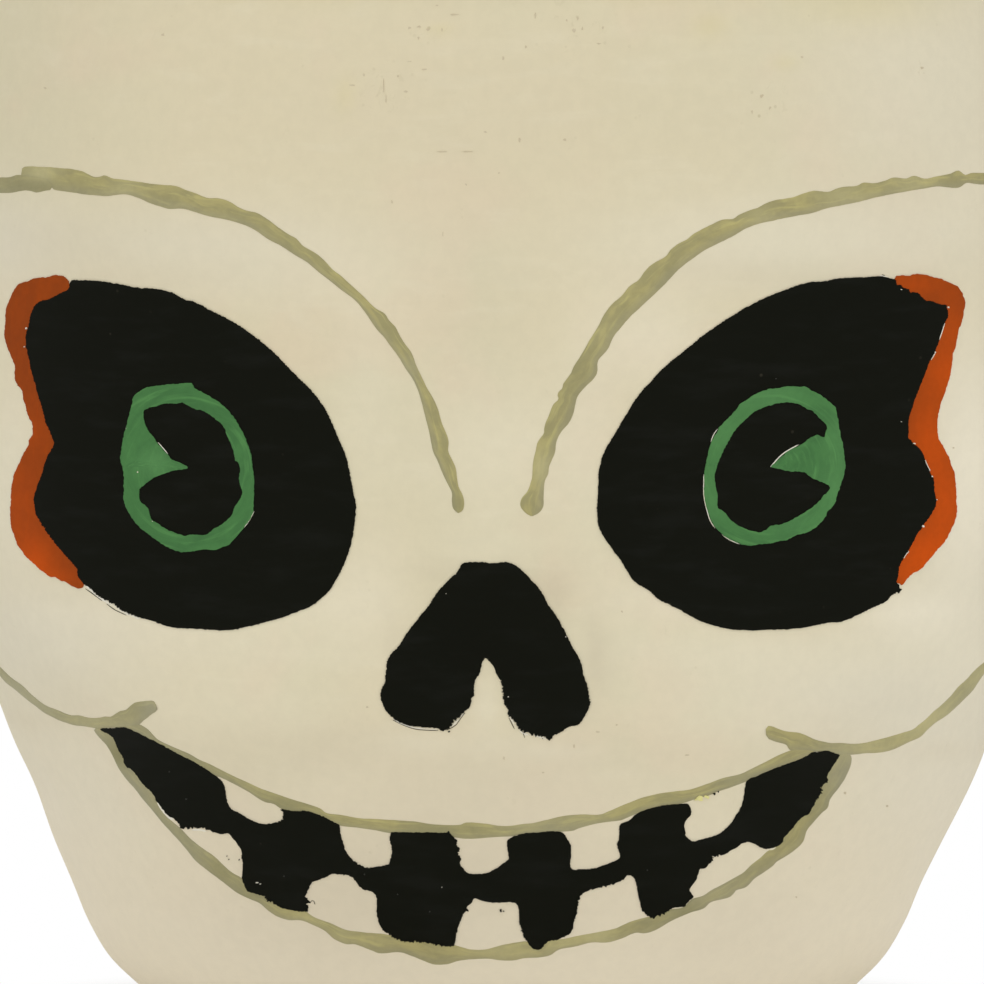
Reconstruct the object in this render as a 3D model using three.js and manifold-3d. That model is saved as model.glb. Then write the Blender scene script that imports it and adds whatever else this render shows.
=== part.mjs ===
// A skull-shaped candy bowl: two moulded papier-mache half shells, glued at the sides, with a bound rim,
// a board floor and a painted face. Millimetres, +Z up, the face toward -Y, the origin under the middle.
import * as THREE from 'three';
import * as BufferGeometryUtils from 'three/addons/utils/BufferGeometryUtils.js';
import Module from 'manifold-3d';

const wasm = await Module();
wasm.setup();

// Sizes of the bowl
const bowlWidth = 260;
const bowlHeight = 250;
const frontDepth = 121;
const backDepth = 120.7;
const wallThickness = 5;
const squareness = 2.25; // 2 is an ellipse in plan, more is squarer
const glueGap = 0.3; // between glued or painted pieces
const cutOverrun = 10; // how far a cutter runs past what it cuts

// Sizes of the pieces on the shells
const bindingThickness = 1.1;
const bindingDrop = 12;
const flangeWidth = 17;
const floorThickness = 2.5;
const floorClearance = 2;
const stripWidth = 24;
const stripThickness = 0.8;
const stripGap = 0.4;
const paintThickness = 0.4;

// Depths and heights of the moulded relief
const socketDepth = 3.6;
const browRise = 1.4;
const cheekRise = 1.7;
const noseDepth = 2;
const bridgeRise = 0.8;
const muzzleRise = 2;

// The eye that the painted face is laid out for: its distance in front of the bowl's axis, and its height
const eyeDistance = 3000;
const eyeHeight = 334;

const shellHeight = bowlHeight - bindingThickness - glueGap;
const halfWidth = bowlWidth / 2;

// Shape of the shell, from the base edge up: height, side, front and back as shares of the sizes above
const profileShares = [
  [0, 0.431, 0.424, 0.413],
  [0.006, 0.508, 0.5, 0.484],
  [0.02, 0.565, 0.559, 0.54],
  [0.05, 0.631, 0.627, 0.603],
  [0.089, 0.685, 0.686, 0.659],
  [0.141, 0.735, 0.746, 0.722],
  [0.201, 0.787, 0.797, 0.778],
  [0.25, 0.828, 0.831, 0.821],
  [0.298, 0.86, 0.858, 0.857],
  [0.362, 0.904, 0.89, 0.901],
  [0.443, 0.95, 0.924, 0.944],
  [0.523, 0.981, 0.95, 0.976],
  [0.604, 0.996, 0.971, 0.996],
  [0.664, 1, 0.983, 1],
  [0.765, 0.992, 0.996, 0.992],
  [0.865, 0.969, 0.994, 0.968],
  [0.946, 0.935, 0.973, 0.933],
  [1, 0.9, 0.948, 0.899],
];
const lastRow = profileShares.length - 1;

function catmullRom(a, b, c, d, t) {
  const slope = (c - a) * t;
  const bend = (2 * a - 5 * b + 4 * c - d) * t ** 2;
  const twist = (3 * b - a - 3 * c + d) * t ** 3;
  return 0.5 * (2 * b + slope + bend + twist);
}

// The profile at a row, which is 0 at the base edge and lastRow at the top, with anything between
function profileAt(row) {
  const below = Math.min(Math.floor(row), lastRow - 1);
  const around = [-1, 0, 1, 2].map((k) => profileShares[THREE.MathUtils.clamp(below + k, 0, lastRow)]);
  const shareAt = (k) => catmullRom(...around.map((shares) => shares[k]), row - below);
  const [height, side, front, back] = [0, 1, 2, 3].map(shareAt);
  return {
    z: height * shellHeight,
    side: side * halfWidth,
    front: front * frontDepth,
    back: back * backDepth,
  };
}

function rowAtHeight(z) {
  let low = 0;
  let high = lastRow;
  for (let step = 0; step < 30; step++) {
    const middle = (low + high) / 2;
    if (profileAt(middle).z < z) low = middle;
    else high = middle;
  }
  return low;
}

// A point of the plain form; the turn is 0 at the front and grows toward +X
function plainPoint(turn, row) {
  const { z, side, front, back } = profileAt(row);
  const depth = Math.cos(turn) > 0 ? front : back;
  const across = Math.abs(Math.sin(turn) / side) ** squareness;
  const along = Math.abs(Math.cos(turn) / depth) ** squareness;
  const reach = (across + along) ** (-1 / squareness);
  return new THREE.Vector3(reach * Math.sin(turn), -reach * Math.cos(turn), z);
}

function plainNormal(turn, row) {
  const nudge = 0.01;
  const across = plainPoint(turn + nudge, row).sub(plainPoint(turn - nudge, row));
  const high = Math.min(row + nudge, lastRow);
  const low = Math.max(row - nudge, 0);
  const up = plainPoint(turn, high).sub(plainPoint(turn, low));
  return across.cross(up).normalize();
}

// How far a place lies from the middle of an ellipse that may be tilted, 1 being its edge. The middle and
// the radii are shares of the bowl's width and height.
function ellipseDistance(x, z, [xShare, zShare, widthShare, heightShare, tilt]) {
  const dx = x - xShare * bowlWidth;
  const dz = z - zShare * bowlHeight;
  const along = (dx * Math.cos(tilt) + dz * Math.sin(tilt)) / (widthShare * bowlWidth);
  const over = (-dx * Math.sin(tilt) + dz * Math.cos(tilt)) / (heightShare * bowlHeight);
  return Math.hypot(along, over);
}

// A soft mound, 1 at the middle and 0 from the edge on
function mound(distance) {
  return distance < 1 ? (1 - distance ** 2) ** 2 : 0;
}

// A ridge round an ellipse, a little outside its edge
function ridge(distance) {
  const placeShare = 1.32;
  const spreadShare = 0.2;
  return Math.exp(-(((distance - placeShare) / spreadShare) ** 2));
}

// Middles, radii and tilts of the relief's ellipses
const leftSocketShares = [-0.253, 0.536, 0.185, 0.155, -0.8];
const rightSocketShares = [0.229, 0.536, 0.185, 0.155, 0.8];
const leftCheekShares = [-0.26, 0.352, 0.2, 0.11, 0];
const rightCheekShares = [0.24, 0.352, 0.2, 0.11, 0];
const noseShares = [-0.01, 0.372, 0.1, 0.1, 0];
const bridgeShares = [-0.005, 0.49, 0.065, 0.16, 0];
const muzzleShares = [-0.012, 0.2, 0.37, 0.17, 0];
const socketReachShare = 1.15;
const fadeShares = [0.05, 0.4]; // cosines of the turns between which the relief fades in from the sides

function relief(turn, { x, z }) {
  const mounded = (shares, reachShare = 1) => mound(ellipseDistance(x, z, shares) / reachShare);
  const sockets = mounded(leftSocketShares, socketReachShare) + mounded(rightSocketShares, socketReachShare);
  const ridged = (shares) => ridge(ellipseDistance(x, z, shares));
  const ridges = ridged(leftSocketShares) + ridged(rightSocketShares);
  const cheeks = mounded(leftCheekShares) + mounded(rightCheekShares);
  const rise = browRise * ridges - socketDepth * sockets + cheekRise * cheeks - noseDepth * mounded(noseShares)
    + bridgeRise * mounded(bridgeShares) + muzzleRise * mounded(muzzleShares);
  return rise * THREE.MathUtils.smoothstep(Math.cos(turn), ...fadeShares);
}

// A point of the shell's outside, lifted off it along the plain form's normal; a lift below 0 goes inside
function shellPoint(turn, row, lift) {
  const point = plainPoint(turn, row);
  const normal = plainNormal(turn, row);
  point.addScaledVector(normal, relief(turn, point) + lift);
  if (row === 0) point.z = -lift;
  if (row === lastRow) point.z = shellHeight;
  return point;
}

function solidOf(points, triangles) {
  const vertProperties = new Float32Array(points.flatMap((p) => [p.x, p.y, p.z]));
  const triVerts = new Uint32Array(triangles.flat());
  return new wasm.Manifold(new wasm.Mesh({ numProp: 3, vertProperties, triVerts }));
}

// A grid cell's two triangles, for the corners a and b of one ring and c and d above them in the next
function cell(a, b, c, d) {
  return [[a, b, d], [a, d, c]];
}

// A solid through closed rings that lie one above another, with a fan over each end
function stackedSolid(rings) {
  const count = rings[0].length;
  const points = rings.flat();
  const triangles = [];
  for (let r = 0; r < rings.length - 1; r++) {
    for (let i = 0; i < count; i++) {
      const next = (i + 1) % count;
      triangles.push(...cell(r * count + i, r * count + next, (r + 1) * count + i, (r + 1) * count + next));
    }
  }
  for (const [ring, first] of [[rings[0], 0], [rings.at(-1), (rings.length - 1) * count]]) {
    const middle = points.length;
    points.push(ring.reduce((sum, p) => sum.add(p), new THREE.Vector3()).divideScalar(count));
    for (let i = 0; i < count; i++) {
      const next = (i + 1) % count;
      triangles.push(first === 0 ? [middle, next, i] : [middle, first + i, first + next]);
    }
  }
  return solidOf(points, triangles);
}

// A solid whose sections follow one another round a closed loop
function loopSolid(sections) {
  const count = sections[0].length;
  const total = sections.length;
  const triangles = [];
  for (let s = 0; s < total; s++) {
    const after = ((s + 1) % total) * count;
    for (let i = 0; i < count; i++) {
      const next = (i + 1) % count;
      triangles.push(...cell(s * count + i, s * count + next, after + i, after + next));
    }
  }
  return solidOf(sections.flat(), triangles);
}

// A thin solid between two lifts of a patch of the shell's surface
function slabSolid(spots, lowLift, highLift) {
  const columns = spots[0].length;
  const rows = spots.length;
  const points = [lowLift, highLift].flatMap((lift) => spots.flat().map(([t, r]) => shellPoint(t, r, lift)));
  const at = (layer, r, c) => layer * rows * columns + r * columns + c;
  const triangles = [];
  for (let r = 0; r < rows - 1; r++) {
    for (let c = 0; c < columns - 1; c++) {
      triangles.push(...cell(at(1, r, c), at(1, r, c + 1), at(1, r + 1, c), at(1, r + 1, c + 1)));
      for (const [i, j, k] of cell(at(0, r, c), at(0, r, c + 1), at(0, r + 1, c), at(0, r + 1, c + 1))) {
        triangles.push([i, k, j]);
      }
    }
  }
  for (let c = 0; c < columns - 1; c++) {
    const top = rows - 1;
    triangles.push(...cell(at(0, 0, c), at(0, 0, c + 1), at(1, 0, c), at(1, 0, c + 1)));
    triangles.push(...cell(at(1, top, c), at(1, top, c + 1), at(0, top, c), at(0, top, c + 1)));
  }
  for (let r = 0; r < rows - 1; r++) {
    const end = columns - 1;
    triangles.push(...cell(at(1, r, 0), at(1, r + 1, 0), at(0, r, 0), at(0, r + 1, 0)));
    triangles.push(...cell(at(0, r, end), at(0, r + 1, end), at(1, r, end), at(1, r + 1, end)));
  }
  return solidOf(points, triangles);
}

// A closed geometry's solid, once its shared vertices are merged
function solidOfGeometry(geometry) {
  geometry.deleteAttribute('normal');
  geometry.deleteAttribute('uv');
  const merged = BufferGeometryUtils.mergeVertices(geometry);
  const vertProperties = new Float32Array(merged.getAttribute('position').array);
  const triVerts = new Uint32Array(merged.getIndex().array);
  return new wasm.Manifold(new wasm.Mesh({ numProp: 3, vertProperties, triVerts }));
}

// Turns of the grid's columns, all round, with finer ones over the face
const faceStep = Math.PI / 36;
const backStep = Math.PI / 30;
const faceTurns = Array.from({ length: 37 }, (_, i) => (i - 18) * faceStep);
const backTurns = Array.from({ length: 29 }, (_, i) => Math.PI / 2 + (i + 1) * backStep);
const outerTurns = [...faceTurns, ...backTurns];
const innerTurns = Array.from({ length: 60 }, (_, i) => (i - 15) * backStep);

// Rows of the grid, with one at the lower edge of the rim binding
const bindingRow = rowAtHeight(shellHeight - bindingDrop);
const gridRows = [
  0, 0.6, 1.4, 2.2, 3, 3.8, 4.6, 5.4, 6.2, 7, 7.8, 8.6, 9.3, 10, 10.6, 11.2, 11.8, 12.5, 13.2, 13.7, 14.2,
  14.8, bindingRow, lastRow].sort((a, b) => a - b);

function ringAt(turns, row, lift) {
  return turns.map((turn) => shellPoint(turn, row, lift));
}

// An upright prism on an oval that is deeper on one side
function ovalPrism(side, front, back, low, high) {
  const ring = (z) => innerTurns.map((turn) => {
    const depth = Math.cos(turn) > 0 ? front : back;
    const reach = 1 / Math.hypot(Math.sin(turn) / side, Math.cos(turn) / depth);
    return new THREE.Vector3(reach * Math.sin(turn), -reach * Math.cos(turn), z);
  });
  return stackedSolid([ring(low), ring(high)]);
}

// The two half shells: the outside less the inside, the opening in the bottom and the seam between the halves
const base = profileAt(0);
const outside = stackedSolid(gridRows.map((row) => ringAt(outerTurns, row, 0)));
const insideRings = gridRows.map((row) => ringAt(innerTurns, row, -wallThickness));
const mouthRing = insideRings.at(-1).map((p) => new THREE.Vector3(p.x, p.y, p.z + cutOverrun));
const inside = stackedSolid([...insideRings, mouthRing]);
const bottomOpening = ovalPrism(
  base.side - flangeWidth, base.front - flangeWidth, base.back - flangeWidth,
  -cutOverrun, wallThickness + cutOverrun);
const hollowShell = outside.subtract(inside).subtract(bottomOpening);

function halfSpace(sign) {
  const depth = frontDepth + backDepth;
  const box = new THREE.BoxGeometry(bowlWidth + 2 * cutOverrun, depth, bowlHeight + 2 * cutOverrun);
  box.translate(0, sign * (depth + glueGap) / 2, bowlHeight / 2);
  return solidOfGeometry(box);
}

const faceShell = hollowShell.intersect(halfSpace(-1));
const backShell = hollowShell.intersect(halfSpace(1));

// The board floor, on the flange
const floorLow = wallThickness + glueGap;
const floorDisc = ovalPrism(
  base.side - floorClearance, base.front - floorClearance, base.back - floorClearance,
  floorLow, floorLow + floorThickness);

// The paper strips inside, over the seams
const stripTopRow = rowAtHeight(shellHeight - bindingDrop - glueGap);
const stripRows = [...gridRows.filter((row) => row > 3 && row < stripTopRow), stripTopRow];

function seamStrip(sign) {
  const spots = stripRows.map((row) => {
    const reach = profileAt(row).side - wallThickness;
    const half = stripWidth / 2 / reach;
    return [-half, 0, half].map((turn) => [sign * Math.PI / 2 + turn, row]);
  });
  const high = -wallThickness - stripGap;
  return slabSolid(spots, high - stripThickness, high);
}

// The rim binding: a folded strip over the top edge, crowned on top
function bindingSection(turn) {
  const outer = glueGap + bindingThickness;
  const inner = -wallThickness - outer;
  const middle = -wallThickness / 2;
  const reach = (outer - inner) / 2;
  const at = (row, lift, rise) => {
    const point = shellPoint(turn, row, lift);
    point.z += rise;
    return point;
  };
  const crownShares = [0.25, 0.5, 0.75];
  const crown = crownShares.map((share) => {
    const angle = share * Math.PI;
    return at(lastRow, middle + reach * Math.cos(angle), outer * Math.sin(angle));
  });
  return [
    at(bindingRow, glueGap, 0),
    at(bindingRow, outer, 0),
    at(lastRow, outer, 0),
    ...crown,
    at(lastRow, inner, 0),
    at(bindingRow, inner, 0),
    at(bindingRow, -wallThickness - glueGap, 0),
    at(lastRow, -wallThickness - glueGap, glueGap),
    at(lastRow, glueGap, glueGap),
  ];
}

const rimBinding = loopSolid(outerTurns.map(bindingSection).reverse());

// The painted face. Its outlines are places in the photograph's 984 by 984 pixels, read by eye, where the
// bowl's axis is at axisPixel, its base at basePixel, and its full width and height are the two spans.
const axisPixel = 497;
const basePixel = 1035;
const widthPixels = 1150;
const heightPixels = 1106;

// A pixel's place on the upright plane through the bowl's axis
function planePlace([pixelX, pixelY]) {
  const x = ((pixelX - axisPixel) / widthPixels) * bowlWidth;
  const z = ((basePixel - pixelY) / heightPixels) * bowlHeight;
  return new THREE.Vector2(x, z);
}

// The turn and height where the eye's line to a pixel meets the plain form
function faceSpot(pixel) {
  const { x, y: z } = planePlace(pixel);
  let depth = frontDepth;
  let turn = 0;
  let height = z;
  for (let step = 0; step < 12; step++) {
    const share = depth / eyeDistance;
    height = z + share * (eyeHeight - z);
    const { side, front } = profileAt(rowAtHeight(height));
    const across = x * (1 - share);
    const alongShare = Math.max(1 - Math.abs(across / side) ** squareness, 0);
    depth = front * alongShare ** (1 / squareness);
    turn = Math.atan2(across, depth);
  }
  return [turn, height];
}

// A closed outline moved out by a margin
function grown(outline, margin) {
  const area = THREE.ShapeUtils.area(outline);
  return outline.map((point, i) => {
    const before = outline.at(i - 1);
    const after = outline[(i + 1) % outline.length];
    const along = after.clone().sub(before).normalize();
    return point.clone().add(new THREE.Vector2(along.y, -along.x).multiplyScalar(Math.sign(area) * margin));
  });
}

// A closed curve through an outline's places
function smoothed(pixels, steps) {
  const places = pixels.map(planePlace).map((place) => new THREE.Vector3(place.x, place.y, 0));
  const curve = new THREE.CatmullRomCurve3(places, true);
  return curve.getPoints(steps).slice(0, -1).map((point) => new THREE.Vector2(point.x, point.y));
}

// A cutter that narrows toward the eye, through every place that the outline covers as it is seen
function sightPrism(outline) {
  const geometry = new THREE.ExtrudeGeometry(new THREE.Shape(outline), { depth: 1, bevelEnabled: false });
  const position = geometry.getAttribute('position');
  const nearest = cutOverrun;
  const farthest = frontDepth + 2 * cutOverrun;
  for (let i = 0; i < position.count; i++) {
    const depth = THREE.MathUtils.lerp(nearest, farthest, position.getZ(i));
    const share = depth / eyeDistance;
    const z = position.getY(i);
    position.setXYZ(i, position.getX(i) * (1 - share), -depth, z + share * (eyeHeight - z));
  }
  return solidOfGeometry(geometry);
}

// A cutter along a brush stroke. Each spot has a length round the bowl, a height and a half-width.
function ribbon(spots, steps, margin) {
  const curve = new THREE.CatmullRomCurve3(spots.map((spot) => new THREE.Vector3(...spot)));
  const places = curve.getSpacedPoints(steps).map((place) => (
    { turn: place.x / halfWidth, row: rowAtHeight(place.y), half: place.z }));
  const centres = places.map(({ turn, row }) => shellPoint(turn, row, 0));
  const sections = places.map(({ turn, row, half }, i) => {
    const normal = plainNormal(turn, row);
    const ahead = centres[Math.min(i + 1, steps)].clone().sub(centres[Math.max(i - 1, 0)]).normalize();
    const aside = new THREE.Vector3().crossVectors(ahead, normal).normalize().multiplyScalar(half + margin);
    const centre = centres[i].clone();
    if (i === 0) centre.addScaledVector(ahead, -margin);
    if (i === steps) centre.addScaledVector(ahead, margin);
    const corner = (sign, lift) => centre.clone().addScaledVector(aside, sign).addScaledVector(normal, lift);
    const reach = wallThickness / 2;
    return [corner(1, -reach), corner(-1, -reach), corner(-1, reach), corner(1, reach)];
  });
  return stackedSolid(sections);
}

const pixelLength = (pixels) => (pixels / widthPixels) * bowlWidth;

// Spots of a stroke, from pixels with half-widths in pixels
function seenStroke(rows) {
  return rows.map(([pixelX, pixelY, halfPixels]) => {
    const [turn, height] = faceSpot([pixelX, pixelY]);
    return [turn * halfWidth, height, pixelLength(halfPixels)];
  });
}

// Spots of a stroke past the photograph's edge: a turn in degrees, a share of the height and a half-width
function hiddenStroke(rows) {
  return rows.map(([degrees, heightShare, halfPixels]) => {
    const turn = THREE.MathUtils.degToRad(degrees);
    return [turn * halfWidth, heightShare * bowlHeight, pixelLength(halfPixels)];
  });
}

const leftEyePixels = [
  [72, 281], [135, 286], [200, 305], [270, 349], [320, 401], [347, 460], [356, 510], [345, 562], [320, 600],
  [270, 621], [230, 630], [172, 627], [125, 613], [85, 585], [60, 551], [37, 515], [38, 485], [50, 452],
  [52, 440], [40, 400], [29, 345], [32, 308], [50, 294]];
const rightEyePixels = [
  [895, 278], [840, 278], [785, 290], [735, 314], [690, 346], [650, 382], [624, 418], [604, 452], [597, 495],
  [605, 538], [633, 580], [670, 606], [720, 627], [760, 630], [825, 623], [865, 611], [898, 592], [899, 570],
  [922, 527], [935, 498], [926, 462], [909, 438], [916, 395], [940, 332], [947, 306], [920, 291]];
const leftOrangePixels = [
  [72, 283], [60, 275], [30, 279], [14, 289], [6, 315], [9, 350], [22, 390], [33, 434], [20, 460], [11, 500],
  [14, 535], [30, 560], [60, 580], [84, 588], [100, 570], [80, 500], [78, 440], [65, 380], [55, 320],
  [75, 300]];
const rightOrangePixels = [
  [893, 281], [905, 275], [930, 277], [957, 286], [964, 305], [956, 345], [941, 402], [937, 437], [950, 460],
  [956, 500], [948, 535], [925, 567], [905, 583], [896, 588], [880, 570], [900, 500], [880, 440], [892, 380],
  [915, 320], [890, 295]];
const leftRingPixels = [
  [134, 397], [150, 386], [191, 383], [222, 404], [240, 430], [251, 465], [254, 505], [240, 533], [220, 548],
  [185, 551], [150, 536], [130, 514], [123, 470], [123, 435]];
const leftRingHolePixels = [
  [145, 410], [160, 404], [185, 403], [215, 418], [232, 445], [240, 480], [235, 509], [218, 527], [195, 535],
  [168, 530], [150, 511], [139, 492], [160, 475], [184, 467], [170, 456], [150, 430]];
const rightRingPixels = [
  [789, 386], [820, 395], [836, 415], [843, 460], [835, 500], [808, 530], [762, 543], [725, 536], [707, 505],
  [704, 470], [718, 430], [745, 398], [770, 388]];
const rightRingHolePixels = [
  [790, 401], [815, 411], [825, 427], [808, 439], [786, 451], [773, 467], [795, 471], [826, 486], [812, 505],
  [788, 523], [752, 530], [718, 508], [716, 470], [728, 440], [757, 409]];
const nosePixels = [
  [463, 563], [505, 562], [525, 573], [550, 608], [575, 650], [588, 688], [590, 708], [575, 724], [550, 736],
  [530, 733], [513, 720], [504, 700], [498, 678], [486, 658], [478, 678], [471, 700], [460, 716], [440, 730],
  [405, 724], [385, 710], [380, 690], [392, 655], [430, 603], [450, 577]];
const mouthPixels = [
  [101, 728], [130, 736], [170, 755], [215, 777], [227, 800], [240, 815], [262, 823], [283, 820], [281, 809],
  [308, 811], [340, 826], [345, 848], [365, 867], [390, 862], [391, 834], [430, 829], [454, 838], [463, 868],
  [485, 873], [509, 858], [515, 836], [555, 829], [571, 848], [573, 869], [603, 866], [620, 857], [620, 825],
  [655, 807], [690, 806], [684, 825], [700, 840], [733, 823], [748, 780], [785, 764], [839, 755], [826, 785],
  [808, 814], [785, 838], [764, 849], [745, 842], [712, 857], [698, 876], [689, 890], [692, 898], [665, 910],
  [650, 917], [639, 898], [633, 877], [610, 885], [583, 893], [574, 920], [560, 938], [538, 949], [525, 938],
  [516, 903], [480, 900], [460, 922], [454, 945], [420, 942], [385, 931], [377, 898], [345, 874], [315, 880],
  [307, 895], [305, 910], [275, 904], [247, 889], [241, 850], [228, 833], [182, 828], [158, 799], [124, 758]];

const upperLipPixels = [
  [140, 727, 4], [200, 761, 6], [260, 793, 6], [320, 812, 7], [390, 825, 7], [470, 831, 8], [550, 824, 7],
  [620, 813, 7], [690, 796, 6], [760, 768, 6], [822, 746, 5]];
const lowerLipPixels = [
  [101, 731, 5], [123, 766, 5], [160, 812, 6], [200, 850, 7], [240, 886, 7], [280, 910, 7], [340, 932, 8],
  [400, 947, 8], [470, 954, 8], [540, 951, 9], [600, 937, 8], [660, 918, 8], [720, 892, 8], [780, 853, 7],
  [825, 800, 7], [849, 757, 6]];
const leftBrowPixels = [
  [0, 185, 8], [50, 181, 8], [100, 187, 8], [150, 193, 7], [200, 204, 7], [260, 223, 6], [320, 263, 6],
  [380, 322, 6], [425, 395, 5], [447, 465, 5], [458, 507, 6]];
const rightBrowPixels = [
  [984, 180, 5], [930, 182, 6], [870, 190, 6], [810, 200, 7], [750, 218, 7], [680, 252, 9], [620, 308, 9],
  [575, 375, 10], [549, 432, 7], [534, 488, 8], [530, 506, 9]];
const leftCheekPixels = [
  [0, 670, 6], [48, 706, 7], [100, 720, 7], [135, 711, 6], [155, 705, 7]];
const rightCheekPixels = [
  [984, 668, 6], [937, 713, 6], [882, 746, 6], [830, 748, 6], [790, 739, 5], [766, 730, 6]];

// Past the photograph's edges the brow and cheek lines of a side run on and meet at the temple
const leftBrowEndShares = [[-84, 0.62, 3], [-80, 0.7, 6], [-71, 0.768, 7]];
const rightBrowEndShares = [[84, 0.62, 3], [79, 0.7, 5], [70, 0.77, 5]];
const leftCheekEndShares = [[-83, 0.5, 4], [-78, 0.42, 6], [-70, 0.372, 6]];
const rightCheekEndShares = [[83, 0.5, 4], [78, 0.42, 6], [70, 0.372, 6]];

const strokes = {
  upper_lip_line: seenStroke(upperLipPixels),
  lower_lip_line: seenStroke(lowerLipPixels),
  left_brow_line: [...hiddenStroke(leftBrowEndShares), ...seenStroke(leftBrowPixels)],
  right_brow_line: [...hiddenStroke(rightBrowEndShares), ...seenStroke(rightBrowPixels)],
  left_cheek_line: [...hiddenStroke(leftCheekEndShares), ...seenStroke(leftCheekPixels)],
  right_cheek_line: [...hiddenStroke(rightCheekEndShares), ...seenStroke(rightCheekPixels)],
};

function strokeCutter(name, margin) {
  const spots = strokes[name];
  const stepShare = 1.3;
  return ribbon(spots, Math.ceil(spots.length * stepShare), margin);
}

// Paint lies in coats over the shell's own facets; the rings are a second coat, over the black
const paintRows = gridRows.filter((row) => row > 0.6 && row < bindingRow);
const paintSpots = paintRows.map((row) => faceTurns.map((turn) => [turn, row]));
const firstCoat = slabSolid(paintSpots, glueGap, glueGap + paintThickness);
const secondLift = 2 * glueGap + paintThickness;
const secondCoat = slabSolid(paintSpots, secondLift, secondLift + paintThickness);

const strokeCoat = (name) => firstCoat.intersect(strokeCutter(name, 0));
const cheekCutters = strokeCutter('left_cheek_line', glueGap).add(strokeCutter('right_cheek_line', glueGap));
const upperLipCutter = strokeCutter('upper_lip_line', glueGap);
const lowerLipCutter = strokeCutter('lower_lip_line', glueGap);
const upperLip = strokeCoat('upper_lip_line').subtract(cheekCutters);
const lowerLip = strokeCoat('lower_lip_line').subtract(upperLipCutter).subtract(cheekCutters);
const mouthBlack = firstCoat.intersect(sightPrism(mouthPixels.map(planePlace)))
  .subtract(upperLipCutter).subtract(lowerLipCutter).subtract(cheekCutters);
const noseBlack = firstCoat.intersect(sightPrism(smoothed(nosePixels, 44)));
const leftEye = smoothed(leftEyePixels, 46);
const rightEye = smoothed(rightEyePixels, 46);

function eyeOrange(orangePixels, eye) {
  return firstCoat.intersect(sightPrism(smoothed(orangePixels, 34))).subtract(sightPrism(grown(eye, glueGap)));
}

function eyeRing(ringPixels, holePixels) {
  const hole = sightPrism(smoothed(holePixels, 30));
  return secondCoat.intersect(sightPrism(smoothed(ringPixels, 26))).subtract(hole);
}

// Colours
const bone = 0xd7cbad;
const paper = 0xcfc3a4;
const black = 0x141612;
const olive = 0xa09e78;
const orange = 0xb5481a;
const green = 0x4b8650;

const bowl = new THREE.Group();

function addPiece(name, solid, color, roughness) {
  const { vertProperties, triVerts } = solid.getMesh();
  const geometry = new THREE.BufferGeometry();
  geometry.setAttribute('position', new THREE.BufferAttribute(new Float32Array(vertProperties), 3));
  geometry.setIndex(new THREE.BufferAttribute(new Uint32Array(triVerts), 1));
  geometry.computeVertexNormals();
  const mesh = new THREE.Mesh(geometry, new THREE.MeshStandardMaterial({ color, roughness, metalness: 0 }));
  mesh.name = name;
  bowl.add(mesh);
}

addPiece('face_shell', faceShell, bone, 0.75);
addPiece('back_shell', backShell, bone, 0.75);
addPiece('rim_binding', rimBinding, bone, 0.75);
addPiece('floor_disc', floorDisc, paper, 0.85);
addPiece('seam_strip_left', seamStrip(-1), paper, 0.85);
addPiece('seam_strip_right', seamStrip(1), paper, 0.85);
addPiece('left_eye_black', firstCoat.intersect(sightPrism(leftEye)), black, 0.6);
addPiece('right_eye_black', firstCoat.intersect(sightPrism(rightEye)), black, 0.6);
addPiece('left_eye_orange', eyeOrange(leftOrangePixels, leftEye), orange, 0.6);
addPiece('right_eye_orange', eyeOrange(rightOrangePixels, rightEye), orange, 0.6);
addPiece('left_eye_ring', eyeRing(leftRingPixels, leftRingHolePixels), green, 0.6);
addPiece('right_eye_ring', eyeRing(rightRingPixels, rightRingHolePixels), green, 0.6);
addPiece('nose_black', noseBlack, black, 0.6);
addPiece('mouth_black', mouthBlack, black, 0.6);
addPiece('upper_lip_line', upperLip, olive, 0.65);
addPiece('lower_lip_line', lowerLip, olive, 0.65);
for (const side of ['left', 'right']) {
  for (const place of ['brow', 'cheek']) {
    const name = `${side}_${place}_line`;
    addPiece(name, strokeCoat(name), olive, 0.65);
  }
}

export default bowl;
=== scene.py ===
# The skull candy bowl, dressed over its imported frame. Metres, +Z up, the painted face toward -Y.
import bpy
import bmesh
from math import pi, sin, cos, atan2, hypot, exp, radians, sqrt
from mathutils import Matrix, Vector, noise
from mathutils.bvhtree import BVHTree
from mathutils.interpolate import poly_3d_calc


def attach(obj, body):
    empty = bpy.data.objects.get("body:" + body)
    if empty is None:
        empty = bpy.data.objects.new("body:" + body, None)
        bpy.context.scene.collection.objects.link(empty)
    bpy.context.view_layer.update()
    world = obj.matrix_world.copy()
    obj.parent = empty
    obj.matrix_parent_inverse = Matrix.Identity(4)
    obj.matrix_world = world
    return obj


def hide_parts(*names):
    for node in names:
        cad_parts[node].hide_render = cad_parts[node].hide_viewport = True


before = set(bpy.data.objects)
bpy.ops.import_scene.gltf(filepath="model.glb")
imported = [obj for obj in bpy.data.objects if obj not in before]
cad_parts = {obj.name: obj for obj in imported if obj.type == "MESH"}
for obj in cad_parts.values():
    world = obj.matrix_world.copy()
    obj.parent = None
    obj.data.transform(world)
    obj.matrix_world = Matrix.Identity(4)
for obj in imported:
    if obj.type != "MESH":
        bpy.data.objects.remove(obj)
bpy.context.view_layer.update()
print("frame loaded")

# the view that the face is painted for
view = {
    "eye": (0.0, -3.0, 0.334),
    "aim": (-0.00113, 0.0, 0.1227),
    "pixels": 984,
    "focalPixels": 13302.0,
    "bowlPixels": 1150,  # the bowl's full width
    "sensor": 36.0,
    "clipStart": 0.1,
    "clipEnd": 200,
}
eye = Vector(view["eye"])
ahead = (Vector(view["aim"]) - eye).normalized()
rightward = ahead.cross(Vector((0, 0, 1))).normalized()
upward = rightward.cross(ahead)


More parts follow.
